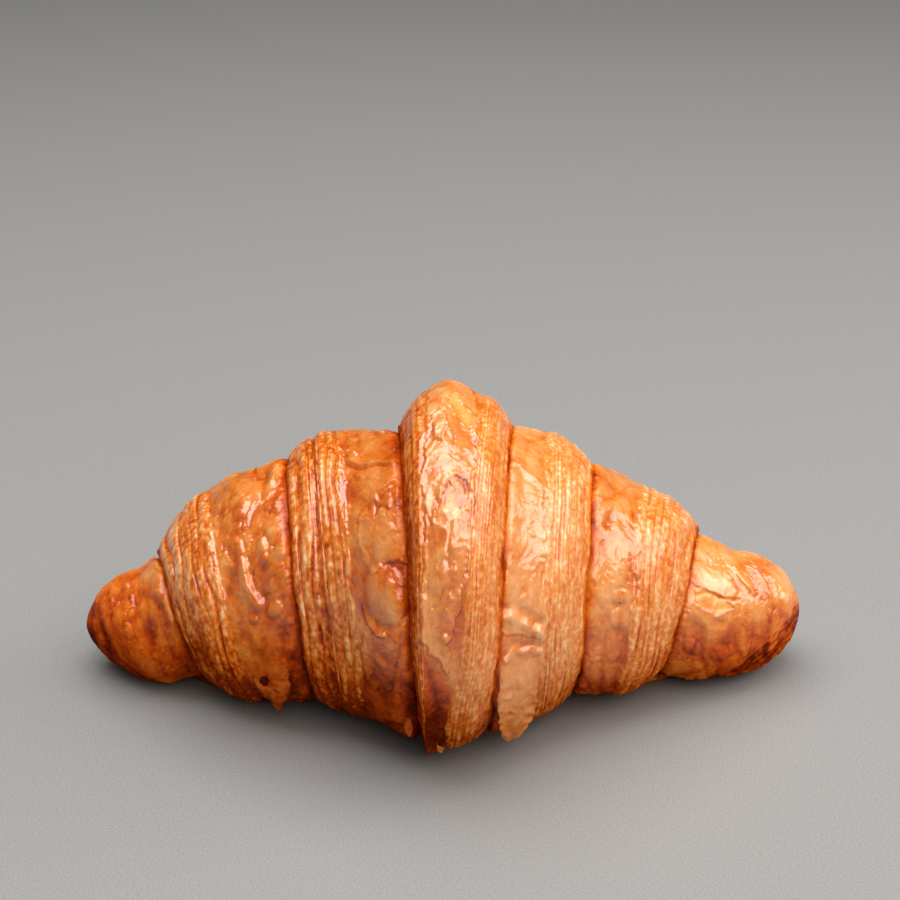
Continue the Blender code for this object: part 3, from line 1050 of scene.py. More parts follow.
@dataclass(frozen=True)
class GlazedCrust:
    """Laminated butter dough, brushed with beaten egg and baked: brown gloss on the skin, drier at the layers."""

    name: str = "egg_washed_butter_pastry"
    skin: tuple[tuple[float, str], ...] = (
        (0.0, "#ecae74"),
        (0.25, "#e2924a"),
        (0.48, "#d46e1c"),
        (0.68, "#b84706"),
        (0.86, "#8a2b03"),
        (1.0, "#541702"),
    )
    layers: tuple[tuple[float, str], ...] = (
        (0.0, "#842a04"),
        (0.22, "#b84b08"),
        (0.46, "#d8721e"),
        (0.72, "#e69a55"),
        (1.0, "#f6cc9e"),
    )
    bare: tuple[tuple[float, str], ...] = ((0.0, "#f3ad60"), (0.55, "#db8031"), (1.0, "#a04410"))
    paper: tuple[tuple[float, str], ...] = ((0.0, "#eab080"), (0.45, "#df9354"), (0.8, "#c96c24"), (1.0, "#983f0e"))
    speckle_mm: float = 0.9
    grain_mm: float = 0.35

    def make(self) -> bpy.types.Material:
        """Build the material from the sheath's own attributes and noises in object space.

        Returns:
            The material.
        """
        material = bpy.data.materials.new(self.name)
        material.use_nodes = True
        tree = material.node_tree
        tree.nodes.clear()
        desk = NodeDesk(tree)
        out = desk.add("OutputMaterial")
        where = desk.add("TexCoord").outputs["Object"]
        # The browning attribute carries painted shade and painted highlight as well; crest, the layers' tone, carries
        # painted shade in valleys and low down and painted highlight on ridge and bead tops.
        bake = desk.add("Attribute", attribute_name="bake").outputs["Fac"]
        crest = desk.add("Attribute", attribute_name="crest").outputs["Fac"]
        torn = desk.add("Attribute", attribute_name="torn").outputs["Fac"]
        layered = desk.add("Attribute", attribute_name="layered").outputs["Fac"]
        film = desk.add("Attribute", attribute_name="film").outputs["Fac"]
        wash = desk.add("Attribute", attribute_name="glaze").outputs["Fac"]

        speckle = desk.add("TexNoise", {"Vector": where, "Scale": 1000.0 / self.speckle_mm, "Detail": 2.0})
        mottle = desk.add("TexNoise", {"Vector": where, "Scale": 1000.0 / 5.0, "Detail": 4.0, "Roughness": 0.6})
        shade = desk.add("MapRange", {0: mottle.outputs[0], 1: 0.3, 2: 0.7, 3: -0.08, 4: 0.08})
        fleck = desk.add("MapRange", {0: speckle.outputs[0], 1: 0.35, 2: 0.70, 3: -0.04, 4: 0.06})
        toned = desk.add("Math", {0: bake, 1: shade.outputs[0]}, operation="ADD")
        toned = desk.add("Math", {0: toned.outputs[0], 1: fleck.outputs[0]}, operation="ADD")
        skin = ramp(desk.add("ValToRGB", {0: toned.outputs[0]}), self.skin)

        pale = desk.add("MapRange", {0: speckle.outputs[0], 1: 0.42, 2: 0.70, 3: -0.07, 4: 0.20})
        risen = desk.add("Math", {0: crest, 1: pale.outputs[0]}, operation="ADD")
        risen = desk.add("Math", {0: shade.outputs[0], 1: -0.9, 2: risen.outputs[0]}, operation="MULTIPLY_ADD")
        leaf = ramp(desk.add("ValToRGB", {0: risen.outputs[0]}), self.layers)
        bare = ramp(desk.add("ValToRGB", {0: toned.outputs[0]}), self.bare)
        paper = ramp(desk.add("ValToRGB", {0: toned.outputs[0]}), self.paper)

        colour = desk.add("Mix", {0: layered, 6: skin.outputs[0], 7: leaf.outputs[0]}, data_type="RGBA")
        colour = desk.add("Mix", {0: film, 6: colour.outputs[2], 7: paper.outputs[0]}, data_type="RGBA")
        colour = desk.add("Mix", {0: torn, 6: colour.outputs[2], 7: bare.outputs[0]}, data_type="RGBA")

        dry = desk.add("Math", {0: layered, 1: torn}, operation="MAXIMUM")
        matt = desk.add("MapRange", {0: dry.outputs[0], 3: 0.42, 4: 0.50})
        streak = desk.add("MapRange", {0: mottle.outputs[0], 1: 0.35, 2: 0.65, 3: -0.05, 4: 0.08})
        rough = desk.add("Math", {0: matt.outputs[0], 1: streak.outputs[0]}, operation="ADD")
        cover = desk.add("MapRange", {0: dry.outputs[0], 3: 1.0, 4: 0.75})
        gloss = desk.add("Math", {0: cover.outputs[0], 1: wash}, operation="MULTIPLY")

        grain = desk.add("TexNoise", {"Vector": where, "Scale": 1000.0 / self.grain_mm, "Detail": 2.0})
        pucker = desk.add("TexNoise", {"Vector": where, "Scale": 1000.0 / 1.3, "Detail": 3.0, "Roughness": 0.6})
        wide = desk.add("Bump", {"Height": pucker.outputs[0], "Strength": 0.7, "Distance": 0.0002})
        bump = desk.add(
            "Bump", {"Height": grain.outputs[0], "Strength": 0.35, "Distance": 0.00006, "Normal": wide.outputs[0]}
        )

        shader = desk.add(
            "BsdfPrincipled",
            {
                "Base Color": colour.outputs[2],
                "Roughness": rough.outputs[0],
                "Coat Weight": gloss.outputs[0],
                "Coat Roughness": 0.18,
                "Coat IOR": 1.95,
                "Subsurface Weight": 0.06,
                "Subsurface Radius": (0.0024, 0.0011, 0.0004),
                "Subsurface Scale": 1.0,
                "IOR": 1.33,
                "Specular IOR Level": 0.0,
                "Normal": bump.outputs[0],
                "Coat Normal": bump.outputs[0],
            },
        )
        desk.tree.links.new(shader.outputs[0], out.inputs[0])
        return material


# --------------------------------------------------------------------------------------------------------------
# Loose flakes
# --------------------------------------------------------------------------------------------------------------


def wear(piece: bpy.types.Object, crust: bpy.types.Material) -> None:
    """Give a piece its finish, let it ride on the body and let it stand for the solid."""
    piece.data.materials.append(crust)
    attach(piece, BODY)
    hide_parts(NODE)
    LOG.info("%s: %d faces", piece.name, len(piece.data.polygons))


@dataclass(frozen=True)
class Flake:
    """A leaf of crust that has come loose at one end: thin, closed, with a torn outline and perhaps a hole."""

    name: str
    outline: Path
    root: tuple[float, float]
    tip: tuple[float, float]
    rise: float
    thickness: float = 0.24
    clear: float = 0.30
    hole: tuple[float, float, float] | None = None
    ripple: float = 0.30
    ragged: float = 0.07
    tone: float = 0.30
    pale: float = 0.7
    gloss: float = 1.0
    seed: int = 1

    def build(self, host: Field, crust: bpy.types.Material) -> bpy.types.Object:
        """Mesh the flake over its host.

        The grid is polar: rows from the middle or the hole out to the outline and back underneath, columns
        round it.  The outline is the farthest crossing of each ray with the corners' polygon, made ragged by
        noise.  The lift grows from root to tip as the 1.6th power of the way.

        Args:
            host: Field of the sheath that it hangs on.
            crust: Its finish.

        Returns:
            The piece.
        """
        corners = np.array(self.outline)
        middle = np.array(self.hole[:2]) if self.hole else corners.mean(axis=0)
        reach = float(host.sample(host.radius, middle[:1], np.radians(middle[1:])).item())
        per_degree = reach * math.pi / 180.0
        flat = (corners - middle) * np.array([1.0, per_degree])
        count = 144
        phi = np.arange(count) / count * 2.0 * np.pi
        ray = np.stack([np.cos(phi), np.sin(phi)], axis=-1)
        a = flat[None, :, :]
        side = np.roll(flat, -1, axis=0)[None, :, :] - a
        cross = ray[:, None, 0] * side[..., 1] - ray[:, None, 1] * side[..., 0]
        cross = np.where(np.abs(cross) < 1e-9, 1e-9, cross)
        far = (a[..., 0] * side[..., 1] - a[..., 1] * side[..., 0]) / cross
        share = (a[..., 0] * ray[:, None, 1] - a[..., 1] * ray[:, None, 0]) / cross
        hit = (share >= 0.0) & (share <= 1.0) & (far > 0.0)
        outer = np.max(np.where(hit, far, 0.05), axis=1)
        circle = np.stack([np.cos(phi), np.sin(phi), np.full_like(phi, 0.37 * self.seed)], axis=-1)
        torn = gradient_noise(circle * 3.1, self.seed) + 0.7 * gradient_noise(circle * 9.0, self.seed + 1)
        outer = outer * (1.0 + self.ragged * torn)
        inner = np.full(count, 0.03) * outer
        if self.hole:
            inner = self.hole[2] * (1.0 + 0.30 * np.cos(2.0 * phi + 0.6) * -1.0 + 0.25 * gradient_noise(circle * 2.3, 5))
        s = np.sin(0.5 * np.pi * np.linspace(0.0, 1.0, 22))
        s = np.concatenate([s, s[::-1][1:]]) if not self.hole else np.concatenate([s, s[::-1][1:-1]])
        upper = np.arange(s.size) < 22
        rho = inner[None, :] + (outer - inner)[None, :] * s[:, None]
        u, v = rho * ray[None, :, 0], rho * ray[None, :, 1]
        x, degrees = middle[0] + u, middle[1] + v / per_degree
        angle = np.radians(degrees)
        root, tip = np.array(self.root), np.array(self.tip)
        way = (tip - root) * np.array([1.0, per_degree])
        along = ((x - root[0]) * way[0] + (degrees - root[1]) * per_degree * way[1]) / (way @ way)
        along = np.clip(along, 0.0, 1.2)
        sheet = np.stack([u, v, np.full_like(u, 1.3 * self.seed)], axis=-1)
        ruck = 0.5 - np.abs(gradient_noise(sheet / 2.7 + 0.6 * cloud(sheet, 4.0, 7)[..., None], self.seed + 3)) * 1.6
        ruck = ruck + 0.35 * gradient_noise(sheet / 1.2, self.seed + 4)
        free = ease(along, 0.0, 0.30)
        lift = self.rise * along**1.6 + self.ripple * ruck * (0.25 + 0.75 * along) * free
        lift = lift + self.clear * free - 0.30 * (1.0 - free)
        body = host.sample(host.radius, x, angle) + (1.0 - 0.5 * free) * host.sample(host.lift, x, angle)
        shade = host.sample(host.bake, x, angle) * (1.0 - 0.6 * free) + 0.6 * free * self.tone
        edge = np.minimum(1.0 - s, s if self.hole else 1.0)[:, None]
        half = 0.5 * self.thickness * np.clip(edge / 0.10, 0.15, 1.0) ** 0.5
        points = ROLL.place(x, body + lift + np.where(upper[:, None], half, -half), angle)
        # Rucks that stand up are a little paler: painted highlight; the cloud is the flake's own uneven browning.
        values = {
            "bake": np.clip(shade + (0.22 * cloud(sheet, 3.0, self.seed + 9, 3) - 0.08 * ruck) * free, 0.0, 1.1),
            "film": self.pale * free,
            "crest": np.full_like(u, 0.5),
            "torn": np.zeros_like(u),
            "layered": np.zeros_like(u),
            "glaze": self.gloss * glaze(points),
        }
        piece = closed_tube(self.name, points, values, ring=self.hole is not None)
        wear(piece, crust)
        return piece


# --------------------------------------------------------------------------------------------------------------
# Sheaths of crust
# --------------------------------------------------------------------------------------------------------------


@dataclass
class Rows:
    """Rows of a sheath's grid while it is being laid out."""

    x: list[Array] = field(default_factory=list)
    radius: list[Array] = field(default_factory=list)
    layer: list[Array] = field(default_factory=list)
    skin: list[Array] = field(default_factory=list)
    grip: list[Array] = field(default_factory=list)

    def lay(self, x: Array, radius: Array, layer: Array, skin: Array, grip: Array) -> None:
        """Append rows: x is rows by columns, the others are one value per row."""
        shape = x.shape
        self.x.append(x)
        for kept, value in ((self.radius, radius), (self.layer, layer), (self.skin, skin), (self.grip, grip)):
            kept.append(np.broadcast_to(np.asarray(value, float).reshape(-1, 1), shape).copy())

    def finish(self, angle: Array) -> Field:
        """Join the rows into a field."""
        x = np.concatenate(self.x)
        wide = np.broadcast_to(angle, x.shape).copy()
        joined = [np.concatenate(part) for part in (self.radius, self.layer, self.skin, self.grip)]
        return Field(x, wide, *joined)


@dataclass
class Sheath:
    """One wrap's crust, from where it comes out of the groove to where its lip rolls under."""

    name: str
    columns: int
    pitch: float = 0.22
    layer_pitch: float = 0.15
    lip_thickness: float = 1.5
    lip_wave: float = 0.55
    groove_width: float = 1.1
    foot_shade: float = 0.55
    lip_shade: float = 0.40
    seed: int = 1
    tone: float = 0.0
    features: tuple[Blister | Crease | Fold | RolledEnd | Leaf, ...] = ()
    flakes: tuple[Flake, ...] = ()

    def lip_waver(self, f_angle: Array, radius: float) -> Array:
        """How far the lip wanders out and in round the roll, in mm: two noises drawn along it."""
        ring = radius * np.stack([np.cos(f_angle), np.sin(f_angle)], axis=-1)
        p = np.concatenate([np.full(ring.shape[:-1] + (1,), 1.7 * self.seed), ring / 11.0], axis=-1)
        q = np.concatenate([np.full(ring.shape[:-1] + (1,), 2.9 * self.seed), ring / 3.1], axis=-1)
        return self.lip_wave * (gradient_noise(p, self.seed + 3) + 0.35 * gradient_noise(q, self.seed + 4))

    def lay_layers(
        self,
        rows: Rows,
        side: Side,
        share: Array,
        wave: Array,
        shoulder: Edge,
        lip: Edge,
        spread: Array | float = 0.0,
    ) -> None:
        """Rows of the opened layers and of the lip that rolls under, going outwards.

        The radius falls from shoulder to lip as t^1.5 with a slight bulge; the lip is half a circle of the
        lip's thickness, then the crust runs back under.

        Args:
            rows: Rows laid so far.
            side: Side of the roll.
            share: Share of a turn at each column.
            wave: Wander of the lip at each column.
            shoulder: Where the layers start.
            lip: Where they end.
            spread: How much sooner than the shoulder they start, in mm.
        """
        start = ROLL.line(side, shoulder, share) - side.value * spread
        end = ROLL.line(side, lip, share)
        count = int(abs(lip.out - shoulder.out) / self.layer_pitch)
        t = np.linspace(0.0, 1.0, count)
        x = start + (end - start) * t[:, None] + side.value * wave * ease(t, 0.3, 1.0)[:, None]
        drop = shoulder.radius - lip.radius
        radius = shoulder.radius - drop * t**1.5 + 0.16 * abs(drop) * 4.0 * t * (1.0 - t)
        rows.lay(x, radius, t, 1.0 - ease(t, -0.02, 0.02), np.ones_like(t))
        phi = np.linspace(0.0, np.pi, 12)[1:]
        out = 0.30 * self.lip_thickness * np.sin(phi)
        under = lip.radius - 0.5 * self.lip_thickness * (1.0 - np.cos(phi))
        keep = 0.5 + 0.5 * np.cos(phi)
        rows.lay(end + side.value * (wave + out[:, None]), under, np.ones_like(phi), 0.0 * phi, keep)
        back = np.linspace(0.0, 1.0, 5)[1:]
        radius = lip.radius - self.lip_thickness - 2.0 * back
        x = end + side.value * (wave * (1.0 - back[:, None]) - 3.0 * back[:, None])
        rows.lay(x, radius, np.ones_like(back), 0.0 * back, 0.0 * back)

    def lay_out(self) -> Field:
        """Lay out the grid of this sheath before relief."""
        raise NotImplementedError

    def relief(self, f: Field) -> None:
        """Press this sheath's own relief into its field."""
        raise NotImplementedError

    def groove_share(self, f: Field) -> Array:
        """How deep in a groove each point lies: 1 at the foot, fading over the groove's width of skin.

        Args:
            f: The sheath's field.

        Returns:
            One value per point, 0 outside the grooves.
        """
        gripped = f.grip[:, :1] > 0.99
        rows = np.flatnonzero(gripped)
        way = np.abs(f.x - f.x[rows[0]][None, :])
        back = np.abs(f.x - f.x[rows[-1]][None, :])
        has_lip = f.layer[rows[-1], 0] > 0.9
        lip = np.exp(-back / (0.4 * self.groove_width)) * has_lip
        foot = np.exp(-way / self.groove_width)
        place = np.arange(f.x.shape[0])[:, None]
        outside = (place < rows[0]) | ((place > rows[-1]) & has_lip)
        return np.where(outside, 1.0, np.maximum(self.foot_shade * foot, self.lip_shade * lip))

    def build(self, crust: bpy.types.Material) -> bpy.types.Object:
        """Lay out, press, brown and mesh the sheath.

        Args:
            crust: Its finish.

        Returns:
            The piece, riding on the body and standing for the solid.
        """
        f = self.lay_out()
        self.relief(f)
        for feature in self.features:
            feature.press(f)
        # Groove depth, weighted by foot_shade and lip_shade; brown() darkens the grooves with it as painted shade, and
        # glaze thins there.
        f.groove = self.groove_share(f)
        brown(f, self.seed + 300, self.tone)
        values = {
            "bake": np.clip(f.bake, 0.0, 1.2),
            "crest": f.crest,
            "torn": f.torn,
            "film": f.film,
            "layered": 1.0 - f.skin,
            "glaze": glaze(f.base, np.maximum(f.groove, f.shelter)),
        }
        thing = closed_tube(self.name, f.points(), values)
        wear(thing, crust)
        for flake in self.flakes:
            flake.build(f, crust)
        return thing


@dataclass
class SideWrap(Sheath):
    """The second or third wrap on one side."""

    side: Side = Side.LEFT
    order: Order = Order.SECOND
    leaves: Leaves = Leaves(9, 0.5, 5)
    surface: Skin = Skin(5)
    blisters: int = 90
    foot_rise: float = 0.6

    def lay_out(self) -> Field:
        """Lay the rows from under the inner neighbour, over the skin and the layers, to the lip.

        Returns:
            The field.
        """
        angle = ring_angles(self.columns)
        share = ROLL.turn_share(angle)
        edges = EDGES[self.side]
        foot, crown = edges[self.order.value + "_foot"], edges[self.order.value + "_crown"]
        shoulder, lip = edges[self.order.value + "_shoulder"], edges[self.order.value + "_lip"]
        wave = self.lip_waver(angle, lip.radius)
        rows = Rows()
        hidden = np.linspace(0.0, 1.0, 8)[:-1]
        start = ROLL.line(self.side, foot, share)
        rows.lay(
            start - self.side.value * 3.2 * (1.0 - hidden[:, None]),
            foot.radius + self.foot_rise - 0.35 - 2.8 * (1.0 - hidden) ** 1.5,
            -np.ones_like(hidden),
            np.ones_like(hidden),
            ease(hidden, 0.5, 1.0),
        )
        knots_x = np.array([foot.out, crown.out, shoulder.out])
        knots_r = np.array([foot.radius, crown.radius, shoulder.radius])
        for a, b in ((foot, crown), (crown, shoulder)):
            count = int(abs(b.out - a.out) / self.pitch)
            t = np.linspace(0.0, 1.0, count + 1)[:-1]
            out = a.out + (b.out - a.out) * t
            radius = smooth_through(out, knots_x, knots_r) - 0.35 * np.exp(-(out - foot.out) / 0.8)
            radius = radius + self.foot_rise * np.exp(-(((out - foot.out) / (0.6 * (crown.out - foot.out))) ** 2))
            x = ROLL.line(self.side, a, share) * (1.0 - t[:, None]) + ROLL.line(self.side, b, share) * t[:, None]
            rows.lay(x, radius, -np.ones_like(t), np.ones_like(t), np.ones_like(t))
        self.lay_layers(rows, self.side, share, wave, shoulder, lip)
        return rows.finish(angle)

    def relief(self, f: Field) -> None:
        """Opened layers, skin and strewn blisters."""
        self.leaves.press(f)
        self.surface.press(f)
        strew_blisters(f, self.blisters, 0.7, 3.0, self.seed + 100)


@dataclass
class CentreBand(Sheath):
    """The tallest wrap in the middle, with layers opened on both sides."""

    leaves_left: Leaves = Leaves(5, 0.30, 15, pale=-0.04)
    leaves_right: Leaves = Leaves(9, 0.22, 25, uneven=0.4, fine=0.05, beads=0.08, pale=0.07, contrast=0.65)
    surface: Skin = Skin(61, 0.35, 0.32, 0.25)
    lower_spread: float = 1.6
    crown_rise: float = 1.0
    top_share: float = 0.02

    def lay_out(self) -> Field:
        """Lay the left half reversed and the right half onwards from the line midway between the shoulders.

        Returns:
            The field.
        """
        angle = ring_angles(self.columns)
        share = ROLL.turn_share(angle)
        halves = []
        for side in (Side.LEFT, Side.RIGHT):
            shoulder, lip = EDGES[side]["centre_shoulder"], EDGES[side]["centre_lip"]
            other = EDGES[Side.RIGHT if side is Side.LEFT else Side.LEFT]["centre_shoulder"]
            middle = 0.5 * (ROLL.line(side, shoulder, share) + ROLL.line(Side(-side.value), other, share))
            spread = self.lower_spread * ease(-np.degrees(angle), 0.0, 25.0) * (side is Side.RIGHT)
            edge = ROLL.line(side, shoulder, share) - spread
            t = np.linspace(0.0, 1.0, 34)[:-1]
            rows = Rows()
            x = middle * (1.0 - t[:, None]) + edge * t[:, None]
            radius = shoulder.radius + self.crown_rise * (1.0 - ease(t, 0.0, 1.0))
            rows.lay(x, radius, -np.ones_like(t), np.ones_like(t), np.ones_like(t))
            self.lay_layers(rows, side, share, self.lip_waver(angle, lip.radius), shoulder, lip, spread)
            halves.append(rows)
        left, right = halves
        joined = Rows()
        for name in ("x", "radius", "layer", "skin", "grip"):
            a = np.concatenate(getattr(left, name))[::-1]
            b = np.concatenate(getattr(right, name))[1:]
            getattr(joined, name).append(np.concatenate([a, b]))
        f = joined.finish(angle)
        fuller = 1.0 + self.top_share * np.sin(f.angle)
        rise = self.crown_rise * (0.5 + 0.5 * np.sin(f.angle)) - self.crown_rise
        lifted = np.clip((f.radius - EDGES[Side.LEFT]["centre_shoulder"].radius) / self.crown_rise, 0.0, 1.0)
        return Field(f.x, f.angle, f.radius * fuller + rise * lifted, f.layer, f.skin, f.grip)

    def relief(self, f: Field) -> None:
        """Opened layers on both sides and skin down the middle."""
        rows = f.x.shape[0]
        middle = int(np.argmax(f.skin[:, 0] > 0.5))
        end = rows - int(np.argmax(f.skin[::-1, 0] > 0.5))
        split = (middle + end) // 2
        for leaves, cut in ((self.leaves_left, slice(0, split)), (self.leaves_right, slice(split, rows))):
            part = Field(f.x[cut], f.angle[cut], f.radius[cut], f.layer[cut], f.skin[cut], f.grip[cut])
            part.crest = f.crest[cut].copy()
            leaves.press(part)
            f.lift[cut] += part.lift
            f.crest[cut] = part.crest
            f.skin[cut] = part.skin
            f.shelter[cut] = part.shelter
        self.surface.press(f)
        strew_blisters(f, 50, 0.7, 2.4, self.seed + 100)


@dataclass
class Horn(Sheath):
    """The tapering end of the roll on one side."""

    side: Side = Side.LEFT
    end: float = 74.9
    power: float = 0.65
    surface: Skin = Skin(31)

    def lay_out(self) -> Field:
        """Lay the rows from under the third wrap to the rounded end.

        Past the horn's shoulder the radius is the shoulder's times (1 - k^1.8)^power, k being the share of
        the way to the end.

        Returns:
            The field.
        """
        angle = ring_angles(self.columns)
        share = ROLL.turn_share(angle)
        edges = EDGES[self.side]
        foot, crown, shoulder = edges["horn_foot"], edges["horn_crown"], edges["horn_shoulder"]
        rows = Rows()
        hidden = np.linspace(0.0, 1.0, 8)[:-1]
        start = ROLL.line(self.side, foot, share)
        rows.lay(
            start - self.side.value * 3.0 * (1.0 - hidden[:, None]),
            foot.radius - 0.3 - 2.2 * (1.0 - hidden) ** 1.5,
            -np.ones_like(hidden),
            np.ones_like(hidden),
            ease(hidden, 0.5, 1.0),
        )
        knots_x = np.array([foot.out, crown.out, shoulder.out])
        knots_r = np.array([foot.radius, crown.radius, shoulder.radius])
        for a, b in ((foot, crown), (crown, shoulder)):
            t = np.linspace(0.0, 1.0, int(abs(b.out - a.out) / self.pitch) + 1)[:-1]
            out = a.out + (b.out - a.out) * t
            radius = smooth_through(out, knots_x, knots_r) - 0.3 * np.exp(-(out - foot.out) / 0.8)
            x = ROLL.line(self.side, a, share) * (1.0 - t[:, None]) + ROLL.line(self.side, b, share) * t[:, None]
            rows.lay(x, radius, -np.ones_like(t), np.ones_like(t), np.ones_like(t))
        count = int((self.end - shoulder.out) / self.pitch * 1.5)
        k = np.sin(0.5 * np.pi * np.linspace(0.0, 1.0, count + 1)[:-1])
        rim = ROLL.line(self.side, shoulder, share)
        x = rim * (1.0 - k[:, None]) + self.side.value * self.end * k[:, None]
        radius = shoulder.radius * (1.0 - k**1.8) ** self.power
        rows.lay(x, radius, -np.ones_like(k), np.ones_like(k), np.clip((1.0 - k) * 14.0, 0.0, 1.0))
        return rows.finish(angle)

    def relief(self, f: Field) -> None:
        """Wrinkled skin and strewn blisters."""
        self.surface.press(f)
        strew_blisters(f, 70, 0.7, 2.8, self.seed + 100)


# --------------------------------------------------------------------------------------------------------------
# Set
# --------------------------------------------------------------------------------------------------------------


@dataclass
class Studio:
    """Pale table, pale surroundings, one large soft light from the right and the camera."""

    elevation: float = 22.0
    distance: float = 0.465
    target: tuple[float, float, float] = (0.0014, -0.001, 0.0575)
    lens: float = 96.0
    table: str = "#b9b8b4"
    wall: str = "#e3e2e1"

    def build(self) -> None:
        """Make the floor, the surroundings, the lights and the camera."""
        self.make_floor()
        self.make_world()
        self.make_light("window_light", (0.66, 0.02, 0.52), (0.70, 0.70), 4.4, "#fffafa")
        self.make_light("front_light", (0.24, -0.74, 0.66), (0.80, 0.65), 5.9, "#fff9f3")
        self.make_light("ceiling_light", (-0.08, 0.06, 0.86), (1.05, 0.95), 11.8, "#fcfdff")
        self.make_camera()

    def make_floor(self) -> None:
        """Flat pale floor that curves up into a wall far behind: a profile carried along X."""
        t = np.linspace(0.0, 1.0, 40)
        bend = np.radians(np.clip((t - 0.4) / 0.3, 0.0, 1.0) * 90.0)
        y = np.where(t < 0.4, -1.5 + t / 0.4 * 3.5, 2.0 + 0.6 * np.sin(bend))
        z = np.where(t < 0.4, 0.0, 0.6 * (1.0 - np.cos(bend))) + np.clip(t - 0.7, 0.0, 1.0) * 6.0
        x = np.array([-3.0, 3.0])
        co = np.stack([np.repeat(x[None, :], 40, 0), np.repeat(y[:, None], 2, 1), np.repeat(z[:, None], 2, 1)], axis=-1)
        i = np.arange(39)
        quads = np.stack([2 * i, 2 * i + 1, 2 * i + 3, 2 * i + 2], axis=-1)
        floor = mesh_object("studio_floor", co.reshape(-1, 3), quads, np.zeros((0, 3), int), {})
        material = bpy.data.materials.new("honed_concrete")
        material.use_nodes = True
        desk = NodeDesk(material.node_tree)
        shader = material.node_tree.nodes["Principled BSDF"]
        where = desk.add("TexCoord").outputs["Object"]
        dust = desk.add("TexNoise", {"Vector": where, "Scale": 2600.0, "Detail": 2.0})
        tone = ramp(desk.add("ValToRGB", {0: dust.outputs[0]}), ((0.3, "#7a7977"), (0.7, "#908f8c")))
        desk.tree.links.new(tone.outputs[0], shader.inputs["Base Color"])
        shader.inputs["Roughness"].default_value = 0.75
        floor.data.materials.append(material)

    def make_world(self) -> None:
        """Even pale surroundings."""
        world = bpy.data.worlds.new("pale_surroundings")
        world.use_nodes = True
        ground = world.node_tree.nodes["Background"]
        ground.inputs["Color"].default_value = linear(self.wall)
        ground.inputs["Strength"].default_value = 0.16
        bpy.context.scene.world = world

    def make_light(
        self, name: str, place: tuple[float, float, float], size: tuple[float, float], power: float, colour: str
    ) -> None:
        """Add one rectangular light that faces the middle of the object.

        Args:
            name: Its name.
            place: Where it stands, in metres.
            size: Width and height in metres.
            power: Watts.
            colour: sRGB hex colour.
        """
        data = bpy.data.lights.new(name, "AREA")
        data.shape = "RECTANGLE"
        data.size, data.size_y = size
        data.energy = power
        data.color = linear(colour)[:3]
        thing = bpy.data.objects.new(name, data)
        thing.location = place
        aim = np.array([0.0, 0.0, 0.03]) - np.array(place)
        thing.rotation_euler = direction_turn(aim)
        bpy.context.scene.collection.objects.link(thing)

    def make_camera(self) -> None:
        """Camera in front, a little above the table."""
        data = bpy.data.cameras.new("camera")
        data.lens = self.lens
        data.sensor_width = 36.0
        data.clip_start = 0.01
        data.clip_end = 50.0
        thing = bpy.data.objects.new("camera", data)
        e = math.radians(self.elevation)
        back = np.array([0.0, -math.cos(e), math.sin(e)])
        thing.location = tuple(np.array(self.target) + back * self.distance)
        thing.rotation_euler = (math.radians(90.0 - self.elevation), 0.0, 0.0)
        bpy.context.scene.collection.objects.link(thing)
        bpy.context.scene.camera = thing


def direction_turn(aim: Array) -> tuple[float, float, float]:
    """Euler turn that points an object's -Z along a direction: tilt from straight down, then swing about Z."""
    flat = math.hypot(aim[0], aim[1])
    tilt = math.atan2(flat, -aim[2])
    swing = math.atan2(aim[0], -aim[1]) if flat > 1e-9 else 0.0
    return (tilt, 0.0, swing + math.pi)


